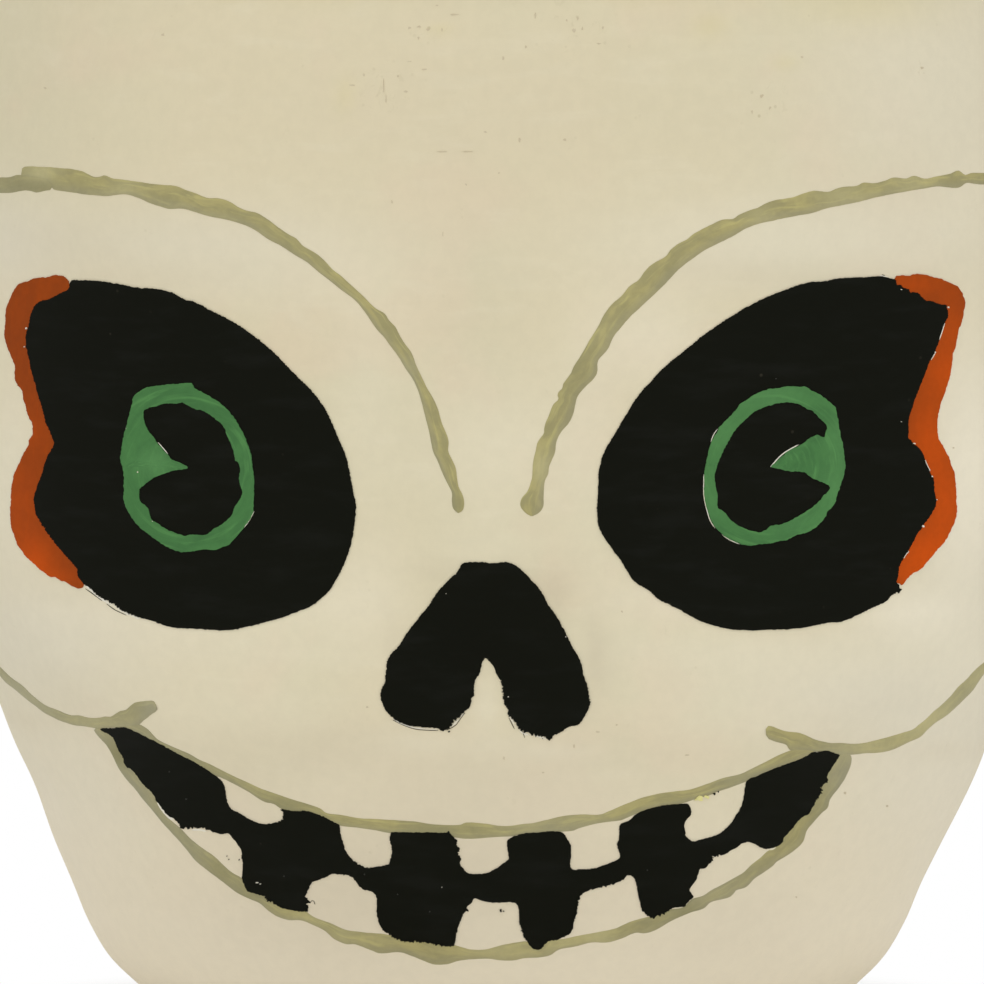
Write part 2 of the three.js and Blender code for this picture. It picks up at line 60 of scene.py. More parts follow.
def sight(px, py):  # direction of the line of sight through a pixel of the picture
    half = view["pixels"] / 2
    return (ahead * view["focalPixels"] + rightward * (px - half) - upward * (py - half)).normalized()


def pixelOf(point):  # where the eye sees a point in the picture
    away = point - eye
    depth = away.dot(ahead)
    half = view["pixels"] / 2
    return (half + away.dot(rightward) / depth * view["focalPixels"],
            half - away.dot(upward) / depth * view["focalPixels"])


cameraData = bpy.data.cameras.new("camera")
cameraData.sensor_width = view["sensor"]
cameraData.lens = view["focalPixels"] * view["sensor"] / view["pixels"]
cameraData.clip_start = view["clipStart"]
cameraData.clip_end = view["clipEnd"]
camera = bpy.data.objects.new("camera", cameraData)
camera.location = eye
camera.rotation_euler = ahead.to_track_quat("-Z", "Y").to_euler()
bpy.context.scene.collection.objects.link(camera)
bpy.context.scene.camera = camera

nearly = 1e-4  # what lies closer than this is in the same place


def catmull(a, b, c, d, t):  # a place on the smooth curve from b to c
    return 0.5 * (2 * b + (c - a) * t + (2 * a - 5 * b + 4 * c - d) * t * t
                  + (3 * b - a - 3 * c + d) * t ** 3)


def neighbours(items, i, closed=False):  # the four items that the smooth curve from the item at i runs by
    if closed:
        return [items[(i + k) % len(items)] for k in (-1, 0, 1, 2)]
    return [items[min(max(i + k, 0), len(items) - 1)] for k in (-1, 0, 1, 2)]


def smoothstep(low, high, value):
    t = min(max((value - low) / (high - low), 0), 1)
    return t * t * (3 - 2 * t)


def srgb(red, green, blue):  # a colour read as 0 to 255, for a shader
    def linear(value):
        value /= 255
        return value / 12.92 if value <= 0.04045 else ((value + 0.055) / 1.055) ** 2.4
    return (linear(red), linear(green), linear(blue), 1)


class Shader:  # a material's tree, with short ways to add and join nodes
    def __init__(self, name, roughness, specular):
        self.material = bpy.data.materials.new(name)
        self.material.use_nodes = True
        self.tree = self.material.node_tree
        self.surface = self.tree.nodes["Principled BSDF"]
        self.feed(self.surface, {"Roughness": roughness, "Specular IOR Level": specular})
        self.place = self.add("ShaderNodeTexCoord").outputs["Object"]

    def feed(self, node, sockets):  # joins a socket to each input, or sets a constant on it
        for key, value in sockets.items():
            if isinstance(value, bpy.types.NodeSocket):
                self.tree.links.new(value, node.inputs[key])
            else:
                node.inputs[key].default_value = value

    def add(self, kind, sockets=None, **settings):
        node = self.tree.nodes.new(kind)
        for key, value in settings.items():
            setattr(node, key, value)
        self.feed(node, sockets or {})
        return node

    def noise(self, scale, detail, rough, place=None, distortion=0):
        node = self.add("ShaderNodeTexNoise", {
            "Vector": place or self.place, "Scale": scale, "Detail": detail, "Roughness": rough,
            "Distortion": distortion})
        return node.outputs["Fac"]

    def streaks(self, stretch, detail, rough, distortion=0, turn=(0, 0, 0), source=None):
        mapping = self.add("ShaderNodeMapping", {
            "Vector": source or self.place, "Scale": stretch, "Rotation": turn})
        return self.noise(1, detail, rough, mapping.outputs["Vector"], distortion)

    def cells(self, scale):
        return self.add("ShaderNodeTexVoronoi", {"Vector": self.place, "Scale": scale}).outputs["Distance"]

    def ramp(self, value, low, high, start=0, end=1):
        node = self.add("ShaderNodeMapRange", {
            "Value": value, "From Min": low, "From Max": high, "To Min": start, "To Max": end},
            interpolation_type="SMOOTHSTEP")
        return node.outputs["Result"]

    def patches(self, scale, detail, rough, low, high, strength):
        return self.ramp(self.noise(scale, detail, rough), low, high, 0, strength)

    def joined(self, kind, values):
        total = values[0]
        for value in values[1:]:
            total = self.add("ShaderNodeMath", {0: total, 1: value}, operation=kind).outputs["Value"]
        return total

    def sum(self, *values):
        return self.joined("ADD", values)

    def times(self, *values):
        return self.joined("MULTIPLY", values)

    def blend(self, amount, first, second, kind="MIX"):  # a Mix node's colours are inputs 6 and 7, output 2
        node = self.add("ShaderNodeMix", {0: amount, 6: first, 7: second}, data_type="RGBA", blend_type=kind)
        return node.outputs[2]

    def grained(self, colour, value, *span):  # a colour made darker and lighter by a fine pattern
        level = self.ramp(value, *span)
        grey = self.add("ShaderNodeCombineColor", {"Red": level, "Green": level, "Blue": level})
        return self.blend(1, colour, grey.outputs["Color"], "MULTIPLY")

    def attribute(self, name):
        return self.add("ShaderNodeAttribute", attribute_name=name).outputs["Fac"]

    def part(self, vector, axis):
        return self.add("ShaderNodeSeparateXYZ", {0: vector}).outputs[axis]

    def bump(self, height, distance, strength, under=None):
        node = self.add("ShaderNodeBump", {"Height": height, "Distance": distance, "Strength": strength})
        if under is not None:
            self.feed(node, {"Normal": under})
        return node.outputs["Normal"]

    def done(self, colour, normal, roughness=None):
        self.feed(self.surface, {"Base Color": colour, "Normal": normal})
        if roughness is not None:
            self.feed(self.surface, {"Roughness": roughness})
        return self.material


# In each coat, a noise is its scale, detail and roughness. Patches add the ramp's two ends and the strength,
# and streaks are stretch, detail, roughness, distortion and turn. A span is the ramp's ends and results,
# and a relief is its height in metres and its strength.
bone = {
    "body": srgb(214, 203, 172),
    "warm": srgb(216, 201, 172),
    "green": srgb(211, 203, 172),
    # cool and pale are the paint's own tints, also laid on as painted light; shade and dim are painted shade,
    # bright is painted light
    "cool": srgb(217, 210, 189),
    "pale": srgb(223, 215, 189),
    "shade": srgb(202, 191, 164),
    "aged": srgb(211, 199, 150),
    "paintedFootLight": srgb(236, 225, 201),
    "bright": srgb(238, 230, 208),
    "dim": srgb(190, 178, 154),
    "speck": srgb(176, 164, 128),
    "roughness": 0.72,
    "specular": 0.2,
    "broad": (13, 2, 0.5, 0.4, 0.6, 0.7),
    "mottled": (24, 3, 0.6, 0.5, 0.66, 0.6),
    "strokes": ((55, 55, 240), 4, 0.6, 0.5, (0, 0.35, 0)),
    "strokeSpan": (0.5, 0.74, 0, 0.22),
    # heights between which a painted light brightens the lower wall, which turns down into shade, and at
    # which the paint has yellowed under the rim and rubbed off at the foot
    "paintedFootLightSpan": (0.105, 0, 0, 0.85),
    "rimSpan": (0.2335, 0.246),
    "footSpan": (0.016, 0.001),
    "stains": (48, 4, 0.62, 0.44, 0.7, 0.7),
    # fine dark specks, few over most of the face and more where it is scuffed
    "specks": 330,
    "speckSpan": (0.16, 0.08, 0, 0.55),
    "scrapes": ((620, 620, 380), 2, 0.5, 1.2, (0, 0.5, 0)),
    "scrapeSpan": (0.6, 0.7, 0, 0.2475),
    "scattered": (120, 2, 0.5, 0.6, 0.72, 0.25),
    "wornShare": 0.35,
    "fine": (320, 4, 0.65),
    "grainSpan": (0.3, 0.7, 0.985, 1.015),
    "pulp": (60, 3, 0.5),
    "glossSpan": (0.3, 0.7, 0.66, 0.8),
    "pulpRelief": (0.0005, 0.12),
    "strokeRelief": (0.00012, 0.35),
    "fineRelief": (0.0001, 0.3),
}


def bonePaint():
    s = Shader("bonePaint", bone["roughness"], bone["specular"])
    fine = s.noise(*bone["fine"])
    strokes = s.streaks(*bone["strokes"])
    colour = s.blend(s.patches(*bone["broad"]), bone["body"], bone["green"])
    colour = s.blend(s.patches(*bone["mottled"]), colour, bone["warm"])
    colour = s.blend(s.ramp(strokes, *bone["strokeSpan"]), colour, bone["pale"])
    # painted light and shade from the tone patches, partly the paint's own tone
    for layer in ("cool", "shade", "pale", "aged"):
        colour = s.blend(s.attribute(layer), colour, bone[layer])
    height = s.part(s.place, "Z")
    # painted light: the wall made lighter towards the foot, where it turns down into shade
    colour = s.blend(s.ramp(height, *bone["paintedFootLightSpan"]), colour, bone["paintedFootLight"])
    # painted light and painted shade from the tone patches
    for layer in ("bright", "dim"):
        colour = s.blend(s.attribute(layer), colour, bone[layer])
    worn = s.sum(s.ramp(height, *bone["rimSpan"]), s.ramp(height, *bone["footSpan"]))
    colour = s.blend(s.times(worn, s.patches(*bone["stains"])), colour, bone["aged"])
    specks = s.ramp(s.cells(bone["specks"]), *bone["speckSpan"])
    specks = s.sum(specks, s.ramp(s.streaks(*bone["scrapes"]), *bone["scrapeSpan"]))
    scuffs = s.sum(s.patches(*bone["scattered"]), s.attribute("scuffed"), s.times(worn, bone["wornShare"]))
    colour = s.blend(s.times(specks, scuffs), colour, bone["speck"])
    colour = s.grained(colour, fine, *bone["grainSpan"])
    pulp = s.noise(*bone["pulp"])
    under = s.bump(strokes, *bone["strokeRelief"], s.bump(pulp, *bone["pulpRelief"]))
    return s.done(colour, s.bump(fine, *bone["fineRelief"], under), s.ramp(pulp, *bone["glossSpan"]))


inner = {
    "paint": srgb(209, 198, 168),
    "thin": srgb(190, 176, 144),
    "pulp": srgb(160, 146, 120),
    "roughness": 0.8,
    "specular": 0.2,
    "strokes": ((22, 22, 190), 4, 0.6),
    "strokeSpan": (0.48, 0.72, 0, 0.45),
    "bare": (38, 4, 0.6, 0.64, 0.74, 0.3),
    "fibres": (420, 5, 0.7),
    "fibreSpan": (0.25, 0.75, 0.93, 1.05),
    "lumps": (55, 5, 0.6),
    "lumpRelief": (0.0014, 0.5),
    "fibreRelief": (0.0003, 0.6),
}


def innerPaint():
    s = Shader("innerPaint", inner["roughness"], inner["specular"])
    fibres = s.noise(*inner["fibres"])
    thin = s.ramp(s.streaks(*inner["strokes"]), *inner["strokeSpan"])
    colour = s.blend(thin, inner["paint"], inner["thin"])
    colour = s.blend(s.patches(*inner["bare"]), colour, inner["pulp"])
    colour = s.grained(colour, fibres, *inner["fibreSpan"])
    lumps = s.bump(s.noise(*inner["lumps"]), *inner["lumpRelief"])
    return s.done(colour, s.bump(fibres, *inner["fibreRelief"], lumps))


paper = {  # painted paper, with its fibres and the wrinkles of wet paste
    "roughness": 0.76,
    "specular": 0.2,
    "fibres": ((900, 900, 260), 5, 0.7, 0),
    "wrinkles": ((90, 90, 240), 3, 0.5, 0.6),
    "cool": (34, 3, 0.5, 0.35, 0.65, 0.4),
    "worn": (75, 4, 0.65, 0.5, 0.72, 0.7),
    "fibreSpan": (0.3, 0.7, 0.95, 1.04),
    "wrinkleRelief": (0.0005, 0.35),
    "fibreRelief": (0.00015, 0.6),
}


def paperPaint(name, tint, turn):
    s = Shader(name, paper["roughness"], paper["specular"])
    fibres = s.streaks(*paper["fibres"], turn)
    wrinkles = s.bump(s.streaks(*paper["wrinkles"], turn), *paper["wrinkleRelief"])
    colour = s.blend(s.patches(*paper["cool"]), tint, bone["cool"])
    colour = s.blend(s.patches(*paper["worn"]), colour, bone["aged"])
    colour = s.grained(colour, fibres, *paper["fibreSpan"])
    return s.done(colour, s.bump(fibres, *paper["fibreRelief"], wrinkles))


card = {  # the floor's painted board
    "roughness": 0.82,
    "specular": 0.18,
    "strokes": ((40, 260, 40), 4, 0.6, 0, (0, 0, 0.5)),
    "strokeSpan": (0.4, 0.66),
    "edgeShare": 0.6,
    "marks": 120,
    "markSpan": (0.12, 0.05, 0, 0.25),
    "fibres": (500, 4, 0.65),
    "strokeRelief": (0.0004, 0.5),
    "fibreRelief": (0.0002, 0.5),
}


def boardPaint():
    s = Shader("boardPaint", card["roughness"], card["specular"])
    strokes = s.streaks(*card["strokes"])
    colour = s.blend(s.ramp(strokes, *card["strokeSpan"]), inner["paint"], inner["thin"])
    colour = s.blend(s.times(s.attribute("edge"), card["edgeShare"]), colour, inner["pulp"])
    colour = s.blend(s.ramp(s.cells(card["marks"]), *card["markSpan"]), colour, bone["speck"])
    under = s.bump(strokes, *card["strokeRelief"])
    return s.done(colour, s.bump(s.noise(*card["fibres"]), *card["fibreRelief"], under))


black = {
    "paint": srgb(16, 17, 10),
    "thin": srgb(22, 23, 18),
    "dust": srgb(64, 60, 50),
    "roughness": 0.62,
    "specular": 0.04,
    "strokes": ((60, 60, 260), 4, 0.6, 0, (0, 0.6, 0)),
    "strokeSpan": (0.45, 0.75),
    "flecks": 150,
    "fleckSpan": (0.075, 0.03),
    "dusty": (45, 2, 0.5, 0.52, 0.66, 0.6),
    "strokeRelief": (0.0002, 0.35),
    "glossSpan": (0.3, 0.7, 0.55, 0.7),
}


def blackPaint():
    s = Shader("blackPaint", black["roughness"], black["specular"])
    strokes = s.streaks(*black["strokes"])
    colour = s.blend(s.ramp(strokes, *black["strokeSpan"]), black["paint"], black["thin"])
    flecks = s.times(s.ramp(s.cells(black["flecks"]), *black["fleckSpan"]), s.patches(*black["dusty"]))
    colour = s.blend(flecks, colour, black["dust"])
    return s.done(colour, s.bump(strokes, *black["strokeRelief"]), s.ramp(strokes, *black["glossSpan"]))


brushed = {  # coloured coats that keep the brush's streaks, which run along U
    "roughness": 0.6,
    "dabs": (3, 0.55, 0.6),
    "dabSpan": (0.38, 0.6, 0),
    "streaks": (3, 0.5, 0.5, (0, 0, 0.1)),
    "streakSpan": (0.52, 0.7, 0),
    "underSpan": (0.1, -0.9, 0, 0.6),  # painted shade: greyer along the stroke's lower edge
    "grain": (700, 3, 0.6),
    "grainSpan": (0.3, 0.7, 0.97, 1.03),
    "streakRelief": (0.00008, 0.3),
    # which tint shows where the coat is dusty, thick or thin
    "layers": {"dusty": "dusty", "thick": "deep", "thin": "bright"},
}
brushedCoats = {
    "olive": {
        "body": srgb(168, 159, 109), "light": srgb(184, 175, 117), "deep": srgb(142, 137, 101),
        # under is a painted shade tint for the stroke's lower edge
        "bright": srgb(188, 180, 134), "under": srgb(151, 146, 116), "dusty": srgb(155, 152, 131),
        "dabs": (120, 0.7, 1), "streaks": (112.5, 2.1, 1), "streaked": 0.6, "specular": 0.08},
    "orange": {
        "body": srgb(146, 64, 17), "light": srgb(156, 66, 15), "deep": srgb(134, 60, 19),
        "bright": srgb(196, 78, 13),
        "dabs": (160, 0.5, 1), "streaks": (150, 1.5, 1), "streaked": 0.5, "specular": 0.04},
    "green": {
        "body": srgb(72, 119, 68), "light": srgb(88, 140, 80), "deep": srgb(62, 104, 61),
        "bright": srgb(90, 140, 84),
        "dabs": (80, 0.5, 1), "streaks": (75, 1.5, 1), "streaked": 0.6, "specular": 0.05},
}


def brushPaint(name, coat):
    s = Shader(name, brushed["roughness"], coat["specular"])
    run = s.add("ShaderNodeUVMap", uv_map="stroke").outputs["UV"]
    dabs = s.streaks(coat["dabs"], *brushed["dabs"], source=run)
    streaks = s.streaks(coat["streaks"], *brushed["streaks"], source=run)
    colour = s.blend(s.ramp(dabs, *brushed["dabSpan"], coat["streaked"]), coat["body"], coat["deep"])
    colour = s.blend(s.ramp(streaks, *brushed["streakSpan"], coat["streaked"]), colour, coat["light"])
    # painted shade along the stroke's lower edge, in the coat's under tint
    if "under" in coat:
        colour = s.blend(s.ramp(s.part(run, "Y"), *brushed["underSpan"]), colour, coat["under"])
    for layer, tint in brushed["layers"].items():
        if tint in coat:
            colour = s.blend(s.attribute(layer), colour, coat[tint])
    colour = s.grained(colour, s.noise(*brushed["grain"]), *brushed["grainSpan"])
    return s.done(colour, s.bump(streaks, *brushed["streakRelief"]))


chalk = {  # dry and matt, for bare slips and small marks
    "roughness": 0.7,
    "specular": 0.2,
    "grain": (260, 4, 0.6),
    "grainSpan": (0.4, 0.7),
    "grainRelief": (0.0001, 0.5),
}
chalkCoats = {
    "primer": (srgb(226, 222, 208), bone["pale"]),
    "mark": (srgb(194, 180, 151), srgb(201, 189, 161)),
    "dust": (srgb(60, 59, 54), srgb(48, 48, 43)),
    "chip": (srgb(222, 216, 146), srgb(206, 199, 134)),
}


def chalkPaint(name, tint, other):
    s = Shader(name, chalk["roughness"], chalk["specular"])
    grain = s.noise(*chalk["grain"])
    colour = s.blend(s.ramp(grain, *chalk["grainSpan"]), tint, other)
    return s.done(colour, s.bump(grain, *chalk["grainRelief"]))


materials = {
    "bone": bonePaint(),
    "inner": innerPaint(),
    "binding": paperPaint("bindingPaint", bone["body"], (0, 0, 0)),
    "strip": paperPaint("stripPaint", inner["paint"], (0, pi / 2, 0)),
    "board": boardPaint(),
    "black": blackPaint(),
}
for name, coat in brushedCoats.items():
    materials[name] = brushPaint(name + "Paint", coat)
for name, tints in chalkCoats.items():
    materials[name] = chalkPaint(name + "Paint", *tints)
print("paints mixed")


def finishPiece(name, bm, coats, node, thickness, even=True):  # a sheet, made thick inward, in its last coat
    for face in bm.faces:
        face.smooth = True
    for edge in bm.edges:
        edge.smooth = not edge.is_boundary
    mesh = bpy.data.meshes.new(name)
    bm.to_mesh(mesh)
    bm.free()
    piece = bpy.data.objects.new(name, mesh)
    bpy.context.scene.collection.objects.link(piece)
    for coat in coats:
        mesh.materials.append(materials[coat])
    solidify = piece.modifiers.new("wall", "SOLIDIFY")
    solidify.thickness = thickness
    solidify.offset = -1
    solidify.use_even_offset = even
    solidify.material_offset = len(coats) - 1
    solidify.material_offset_rim = len(coats) - 1
    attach(piece, "root")
    if node:
        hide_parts(node)


# the moulded shells
bowl = {
    "width": 0.26, "height": 0.25, "front": 0.121, "back": 0.1207,
    "wall": 0.005, "squareness": 2.25, "bindingThickness": 0.0011, "glueGap": 0.0003, "flange": 0.017,
    # from the base edge up: height, side, front and back, as shares of the sizes above
    "profile": [
        (0, 0.431, 0.424, 0.413), (0.006, 0.508, 0.5, 0.484), (0.02, 0.565, 0.559, 0.54),
        (0.05, 0.63, 0.627, 0.603), (0.0745, 0.677, 0.666, 0.64), (0.105, 0.711, 0.706, 0.68),
        (0.141, 0.739, 0.746, 0.722), (0.201, 0.79, 0.797, 0.778), (0.25, 0.828, 0.831, 0.821),
        (0.298, 0.86, 0.858, 0.857), (0.362, 0.904, 0.89, 0.901), (0.443, 0.95, 0.924, 0.944),
        (0.523, 0.981, 0.95, 0.976), (0.604, 0.996, 0.971, 0.996), (0.664, 1, 0.983, 1),
        (0.765, 0.992, 0.996, 0.992), (0.865, 0.969, 0.994, 0.968), (0.946, 0.935, 0.973, 0.933),
        (1, 0.9, 0.948, 0.899)],
    # the slight unevenness of pressed pulp: its rise, and the two scales of its lumps
    "lumps": 0.00022, "broadLumps": 38, "smallLumps": 110, "smallShare": 0.35,
    # where the wall swells or sinks: turn and height of the middle, rise, and reach in turn and height
    "dents": [(-90, 0.057, -0.0011, 42, 0.009), (90, 0.064, 0.0017, 46, 0.017)],
    "seamGroove": 0.0003,
    "flangeRows": 8,
    # columns, and rows to a step of the profile
    "faceGrid": (216, 10),
    "backGrid": (150, 8),
    # the face's tones end between these cosines of the turn, and scattered scuffs begin
    "toneSpan": (0, 0.3), "backScuffs": 0.5, "scuffScale": 24, "scuffSpan": (0.05, 0.35),
    "roundness": 0.75,  # how far the paint follows the round surface between the corners of a facet
}
relief = {
    # middles, radii and tilts, as shares of the width and height
    "forms": {
        "leftSocket": (-0.253, 0.536, 0.185, 0.155, -0.8), "rightSocket": (0.229, 0.536, 0.185, 0.155, 0.8),
        "leftCheek": (-0.26, 0.352, 0.2, 0.11, 0), "rightCheek": (0.24, 0.352, 0.2, 0.11, 0),
        "nose": (-0.01, 0.372, 0.1, 0.1, 0), "bridge": (-0.005, 0.49, 0.065, 0.16, 0),
        "muzzle": (-0.012, 0.2, 0.37, 0.17, 0),
    },
    "socketDepth": 0.0036, "browRise": 0.0014, "cheekRise": 0.0017, "noseDepth": 0.002,
    "bridgeRise": 0.0008, "muzzleRise": 0.002,
    # the brow ridge's distance and width, and the socket's reach, all in radii of the socket
    "ridgeAt": 1.32, "ridgeWidth": 0.2, "socketReach": 1.15,
    "fade": (0.05, 0.4),  # cosines of the turn between which the relief ends
}
shellHeight = bowl["height"] - bowl["bindingThickness"] - bowl["glueGap"]
lastRow = len(bowl["profile"]) - 1


def profileAt(row):  # height, side, front and back at a row, with anything between two rows
    below = min(max(int(row), 0), lastRow - 1)
    around = neighbours(bowl["profile"], below)
    height, side, front, back = [catmull(*(shares[k] for shares in around), row - below) for k in range(4)]
    return height * shellHeight, side * bowl["width"] / 2, front * bowl["front"], back * bowl["back"]


def rowAtHeight(z):  # 26 halvings end well below a micrometre
    low, high = 0, lastRow
    for halving in range(26):
        middle = (low + high) / 2
        if profileAt(middle)[0] < z:
            low = middle
        else:
            high = middle
    return low


def plainPoint(turn, row):
    z, side, front, back = profileAt(row)
    depth = front if cos(turn) > 0 else back
    power = bowl["squareness"]
    reach = (abs(sin(turn) / side) ** power + abs(cos(turn) / depth) ** power) ** (-1 / power)
    return Vector((reach * sin(turn), -reach * cos(turn), z))


def plainNormal(turn, row):
    nudge = 0.01
    across = plainPoint(turn + nudge, row) - plainPoint(turn - nudge, row)
    up = plainPoint(turn, min(row + nudge, lastRow)) - plainPoint(turn, max(row - nudge, 0))
    return across.cross(up).normalized()


def ellipseDistance(x, z, xShare, zShare, widthShare, heightShare, tilt):
    dx = x - xShare * bowl["width"]
    dz = z - zShare * bowl["height"]
    along = (dx * cos(tilt) + dz * sin(tilt)) / (widthShare * bowl["width"])
    over = (-dx * sin(tilt) + dz * cos(tilt)) / (heightShare * bowl["height"])
    return hypot(along, over)


def mound(distance):
    return (1 - distance * distance) ** 2 if distance < 1 else 0


def reliefAt(turn, point):
    away = {name: ellipseDistance(point.x, point.z, *form) for name, form in relief["forms"].items()}
    sockets = (away["leftSocket"], away["rightSocket"])
    ridges = sum(exp(-((distance - relief["ridgeAt"]) / relief["ridgeWidth"]) ** 2) for distance in sockets)
    hollows = sum(mound(distance / relief["socketReach"]) for distance in sockets)
    rise = relief["browRise"] * ridges - relief["socketDepth"] * hollows
    rise += relief["cheekRise"] * (mound(away["leftCheek"]) + mound(away["rightCheek"]))
    rise -= relief["noseDepth"] * mound(away["nose"])
    rise += relief["bridgeRise"] * mound(away["bridge"]) + relief["muzzleRise"] * mound(away["muzzle"])
    return rise * smoothstep(*relief["fade"], cos(turn))


def lumpsAt(point):
    broad = noise.noise(point * bowl["broadLumps"])
    small = noise.noise(point * bowl["smallLumps"] + Vector((5, 3, 1)))
    return bowl["lumps"] * (broad + bowl["smallShare"] * small)


def dentsAt(turn, z):
    total = 0
    for middle, height, rise, turnReach, heightReach in bowl["dents"]:
        away = turn - radians(middle)
        away = atan2(sin(away), cos(away)) / radians(turnReach)
        total += rise * exp(-away * away - ((z - height) / heightReach) ** 2)
    return total


def shellPoint(turn, row, lift):
    point = plainPoint(turn, row)
    rise = reliefAt(turn, point) + dentsAt(turn, point.z) + lumpsAt(point) + lift
    point += plainNormal(turn, row) * rise
    if row >= lastRow:
        point.z = shellHeight
    return point


# soft patches of the paint's own tone, of painted light and shade, of stains and of scuffs: a pixel, two
# radii in pixels and a strength
tone = {
    # partly the paint's cooler tone, partly painted light on the jaw, the chin and the far sides
    "cool": [
        (60, 830, 110, 130, 0.8), (930, 830, 120, 130, 0.8), (200, 960, 130, 60, 0.75),
        (800, 955, 140, 60, 0.8), (640, 985, 120, 40, 0.4), (340, 985, 120, 40, 0.4),
        (940, 90, 140, 130, 0.55), (-10, 560, 90, 200, 0.5), (994, 560, 100, 220, 0.8),
        (850, 690, 140, 55, 0.6), (70, 640, 100, 50, 0.45), (190, 245, 200, 45, 0.5),
        (800, 245, 180, 45, 0.5), (0, 240, 60, 60, 0.5)],
    # partly pale paint round the eyes and nose, partly painted light beside the relief and on the lower wall
    "pale": [
        (948, 640, 60, 80, 0.55), (940, 60, 110, 90, 0.4), (660, 335, 60, 50, 0.45),
        (760, 690, 130, 50, 0.35), (490, 550, 70, 26, 0.3), (235, 700, 110, 36, 0.3),
        (790, 238, 170, 34, 0.5), (270, 275, 130, 34, 0.35), (365, 400, 34, 110, 0.35),
        (590, 450, 30, 120, 0.35), (230, 650, 160, 22, 0.4), (770, 652, 170, 22, 0.45),
        (378, 600, 36, 60, 0.25), (612, 600, 36, 60, 0.25), (425, 745, 60, 12, 0.4),
        (545, 751, 50, 10, 0.4), (486, 705, 13, 32, 0.5), (490, 990, 330, 60, 0.75),
        (500, 925, 260, 50, 0.4)],
    # painted shade above the sockets, on the forehead, under the nose and on the lower face
    "shade": [
        (490, 110, 260, 80, 0.2), (490, 787, 150, 34, 0.6), (310, 742, 100, 30, 0.35),
        (180, 276, 110, 14, 0.4), (790, 272, 120, 14, 0.35), (480, 330, 60, 130, 0.2),
        (30, 90, 90, 120, 0.2), (20, 720, 60, 14, 0.3), (950, 752, 50, 12, 0.3), (490, 860, 300, 60, 0.45),
        (195, 945, 90, 50, 0.45), (810, 945, 90, 50, 0.25)],
    "aged": [
        (865, 5, 75, 24, 0.35), (710, 25, 18, 12, 0.35), (785, 62, 12, 8, 0.3), (345, 95, 10, 16, 0.3),
        (440, 30, 12, 6, 0.3)],
    # painted light on the far sides, under the eyes and on the bridge of the nose
    "bright": [
        (972, 470, 46, 130, 0.65), (905, 612, 60, 24, 0.45), (960, 660, 60, 40, 0.2),
        (10, 470, 40, 120, 0.25), (200, 612, 150, 26, 0.32), (680, 600, 60, 30, 0.3),
        (500, 450, 90, 70, 0.25), (350, 590, 50, 50, 0.2), (640, 340, 60, 50, 0.15),
        (960, 850, 60, 100, 0.2), (975, 190, 40, 50, 0.15)],
    # painted shade round the nose and on the lower face
    "dim": [
        (330, 905, 150, 75, 0.36), (560, 900, 170, 70, 0.24), (210, 800, 90, 50, 0.16),
        (430, 840, 120, 40, 0.12), (525, 590, 50, 26, 0.2), (455, 660, 26, 50, 0.2),
        (597, 670, 26, 40, 0.18), (490, 750, 160, 26, 0.16), (60, 246, 70, 30, 0.16),
        (175, 312, 40, 16, 0.2), (740, 930, 80, 60, 0.12), (556, 592, 18, 30, 0.2),
        (596, 648, 10, 36, 0.22), (436, 570, 26, 12, 0.18), (392, 640, 9, 26, 0.2)],
    "scuffed": [
        (432, 27, 18, 12, 0.9), (386, 90, 30, 24, 0.7), (570, 28, 34, 30, 0.7), (765, 102, 22, 26, 0.8),
        (920, 68, 8, 8, 0.9), (562, 140, 6, 6, 0.9), (163, 35, 7, 7, 0.8), (500, 910, 7, 7, 0.8)],
}


def toneAt(patches, px, py):
    total = 0
    for x, y, wide, high, strength in patches:
        total += strength * exp(-((px - x) / wide) ** 2 - ((py - y) / high) ** 2)
    return min(total, 1)


def mouldHalf(middleTurn, columns, rowsPerStep):
    bm = bmesh.new()
    rows = lastRow * rowsPerStep
    flangeRows = bowl["flangeRows"]
    bmesh.ops.create_grid(bm, x_segments=columns, y_segments=rows + flangeRows, size=1)
    layers = {key: bm.verts.layers.float.new(key) for key in tone}
    for vert in bm.verts:
        turn = middleTurn + vert.co.x * pi / 2
        atSeam = abs(abs(vert.co.x) - 1) < nearly
        step = (vert.co.y + 1) / 2 * (rows + flangeRows) - flangeRows
        if step < -nearly:
            # the flange that the wall turns in, flat on the ground
            edge = plainPoint(turn, 0)
            inward = Vector((edge.x, edge.y, 0)).normalized()
            vert.co = edge + inward * bowl["flange"] * step / flangeRows
            vert.co.z = 0
        else:
            row = min(max(step / rowsPerStep, 0), lastRow)
            vert.co = shellPoint(turn, row, -bowl["seamGroove"] if atSeam and row > 0 else 0)
            if row == 0:
                vert.co.z = 0
        if atSeam:
            vert.co.y = 0
        facing = smoothstep(*bowl["toneSpan"], cos(turn))
        for key, layer in layers.items():
            vert[layer] = toneAt(tone[key], *pixelOf(vert.co)) * facing
        scuffs = smoothstep(*bowl["scuffSpan"], noise.noise(vert.co * bowl["scuffScale"]))
        vert[layers["scuffed"]] += bowl["backScuffs"] * (1 - facing) * scuffs
    return bm


faceMould = mouldHalf(0, *bowl["faceGrid"])
faceMould.normal_update()
faceMould.verts.ensure_lookup_table()
faceMould.faces.ensure_lookup_table()
faceTree = BVHTree.FromBMesh(faceMould)
facePlaces = [[vert.co.copy() for vert in face.verts] for face in faceMould.faces]
faceNormals = [[vert.normal.copy() for vert in face.verts] for face in faceMould.faces]


def onCurve(place, face):  # the same place on the rounded surface, and its normal there
    corners = facePlaces[face]
    normals = faceNormals[face]
    rounded = Vector((0, 0, 0))
    normal = Vector((0, 0, 0))
    for weight, corner, facing in zip(poly_3d_calc(corners, place), corners, normals):
        rounded += (place - facing * (place - corner).dot(facing)) * weight
        normal += facing * weight
    return place.lerp(rounded, bowl["roundness"]), normal.normalized()


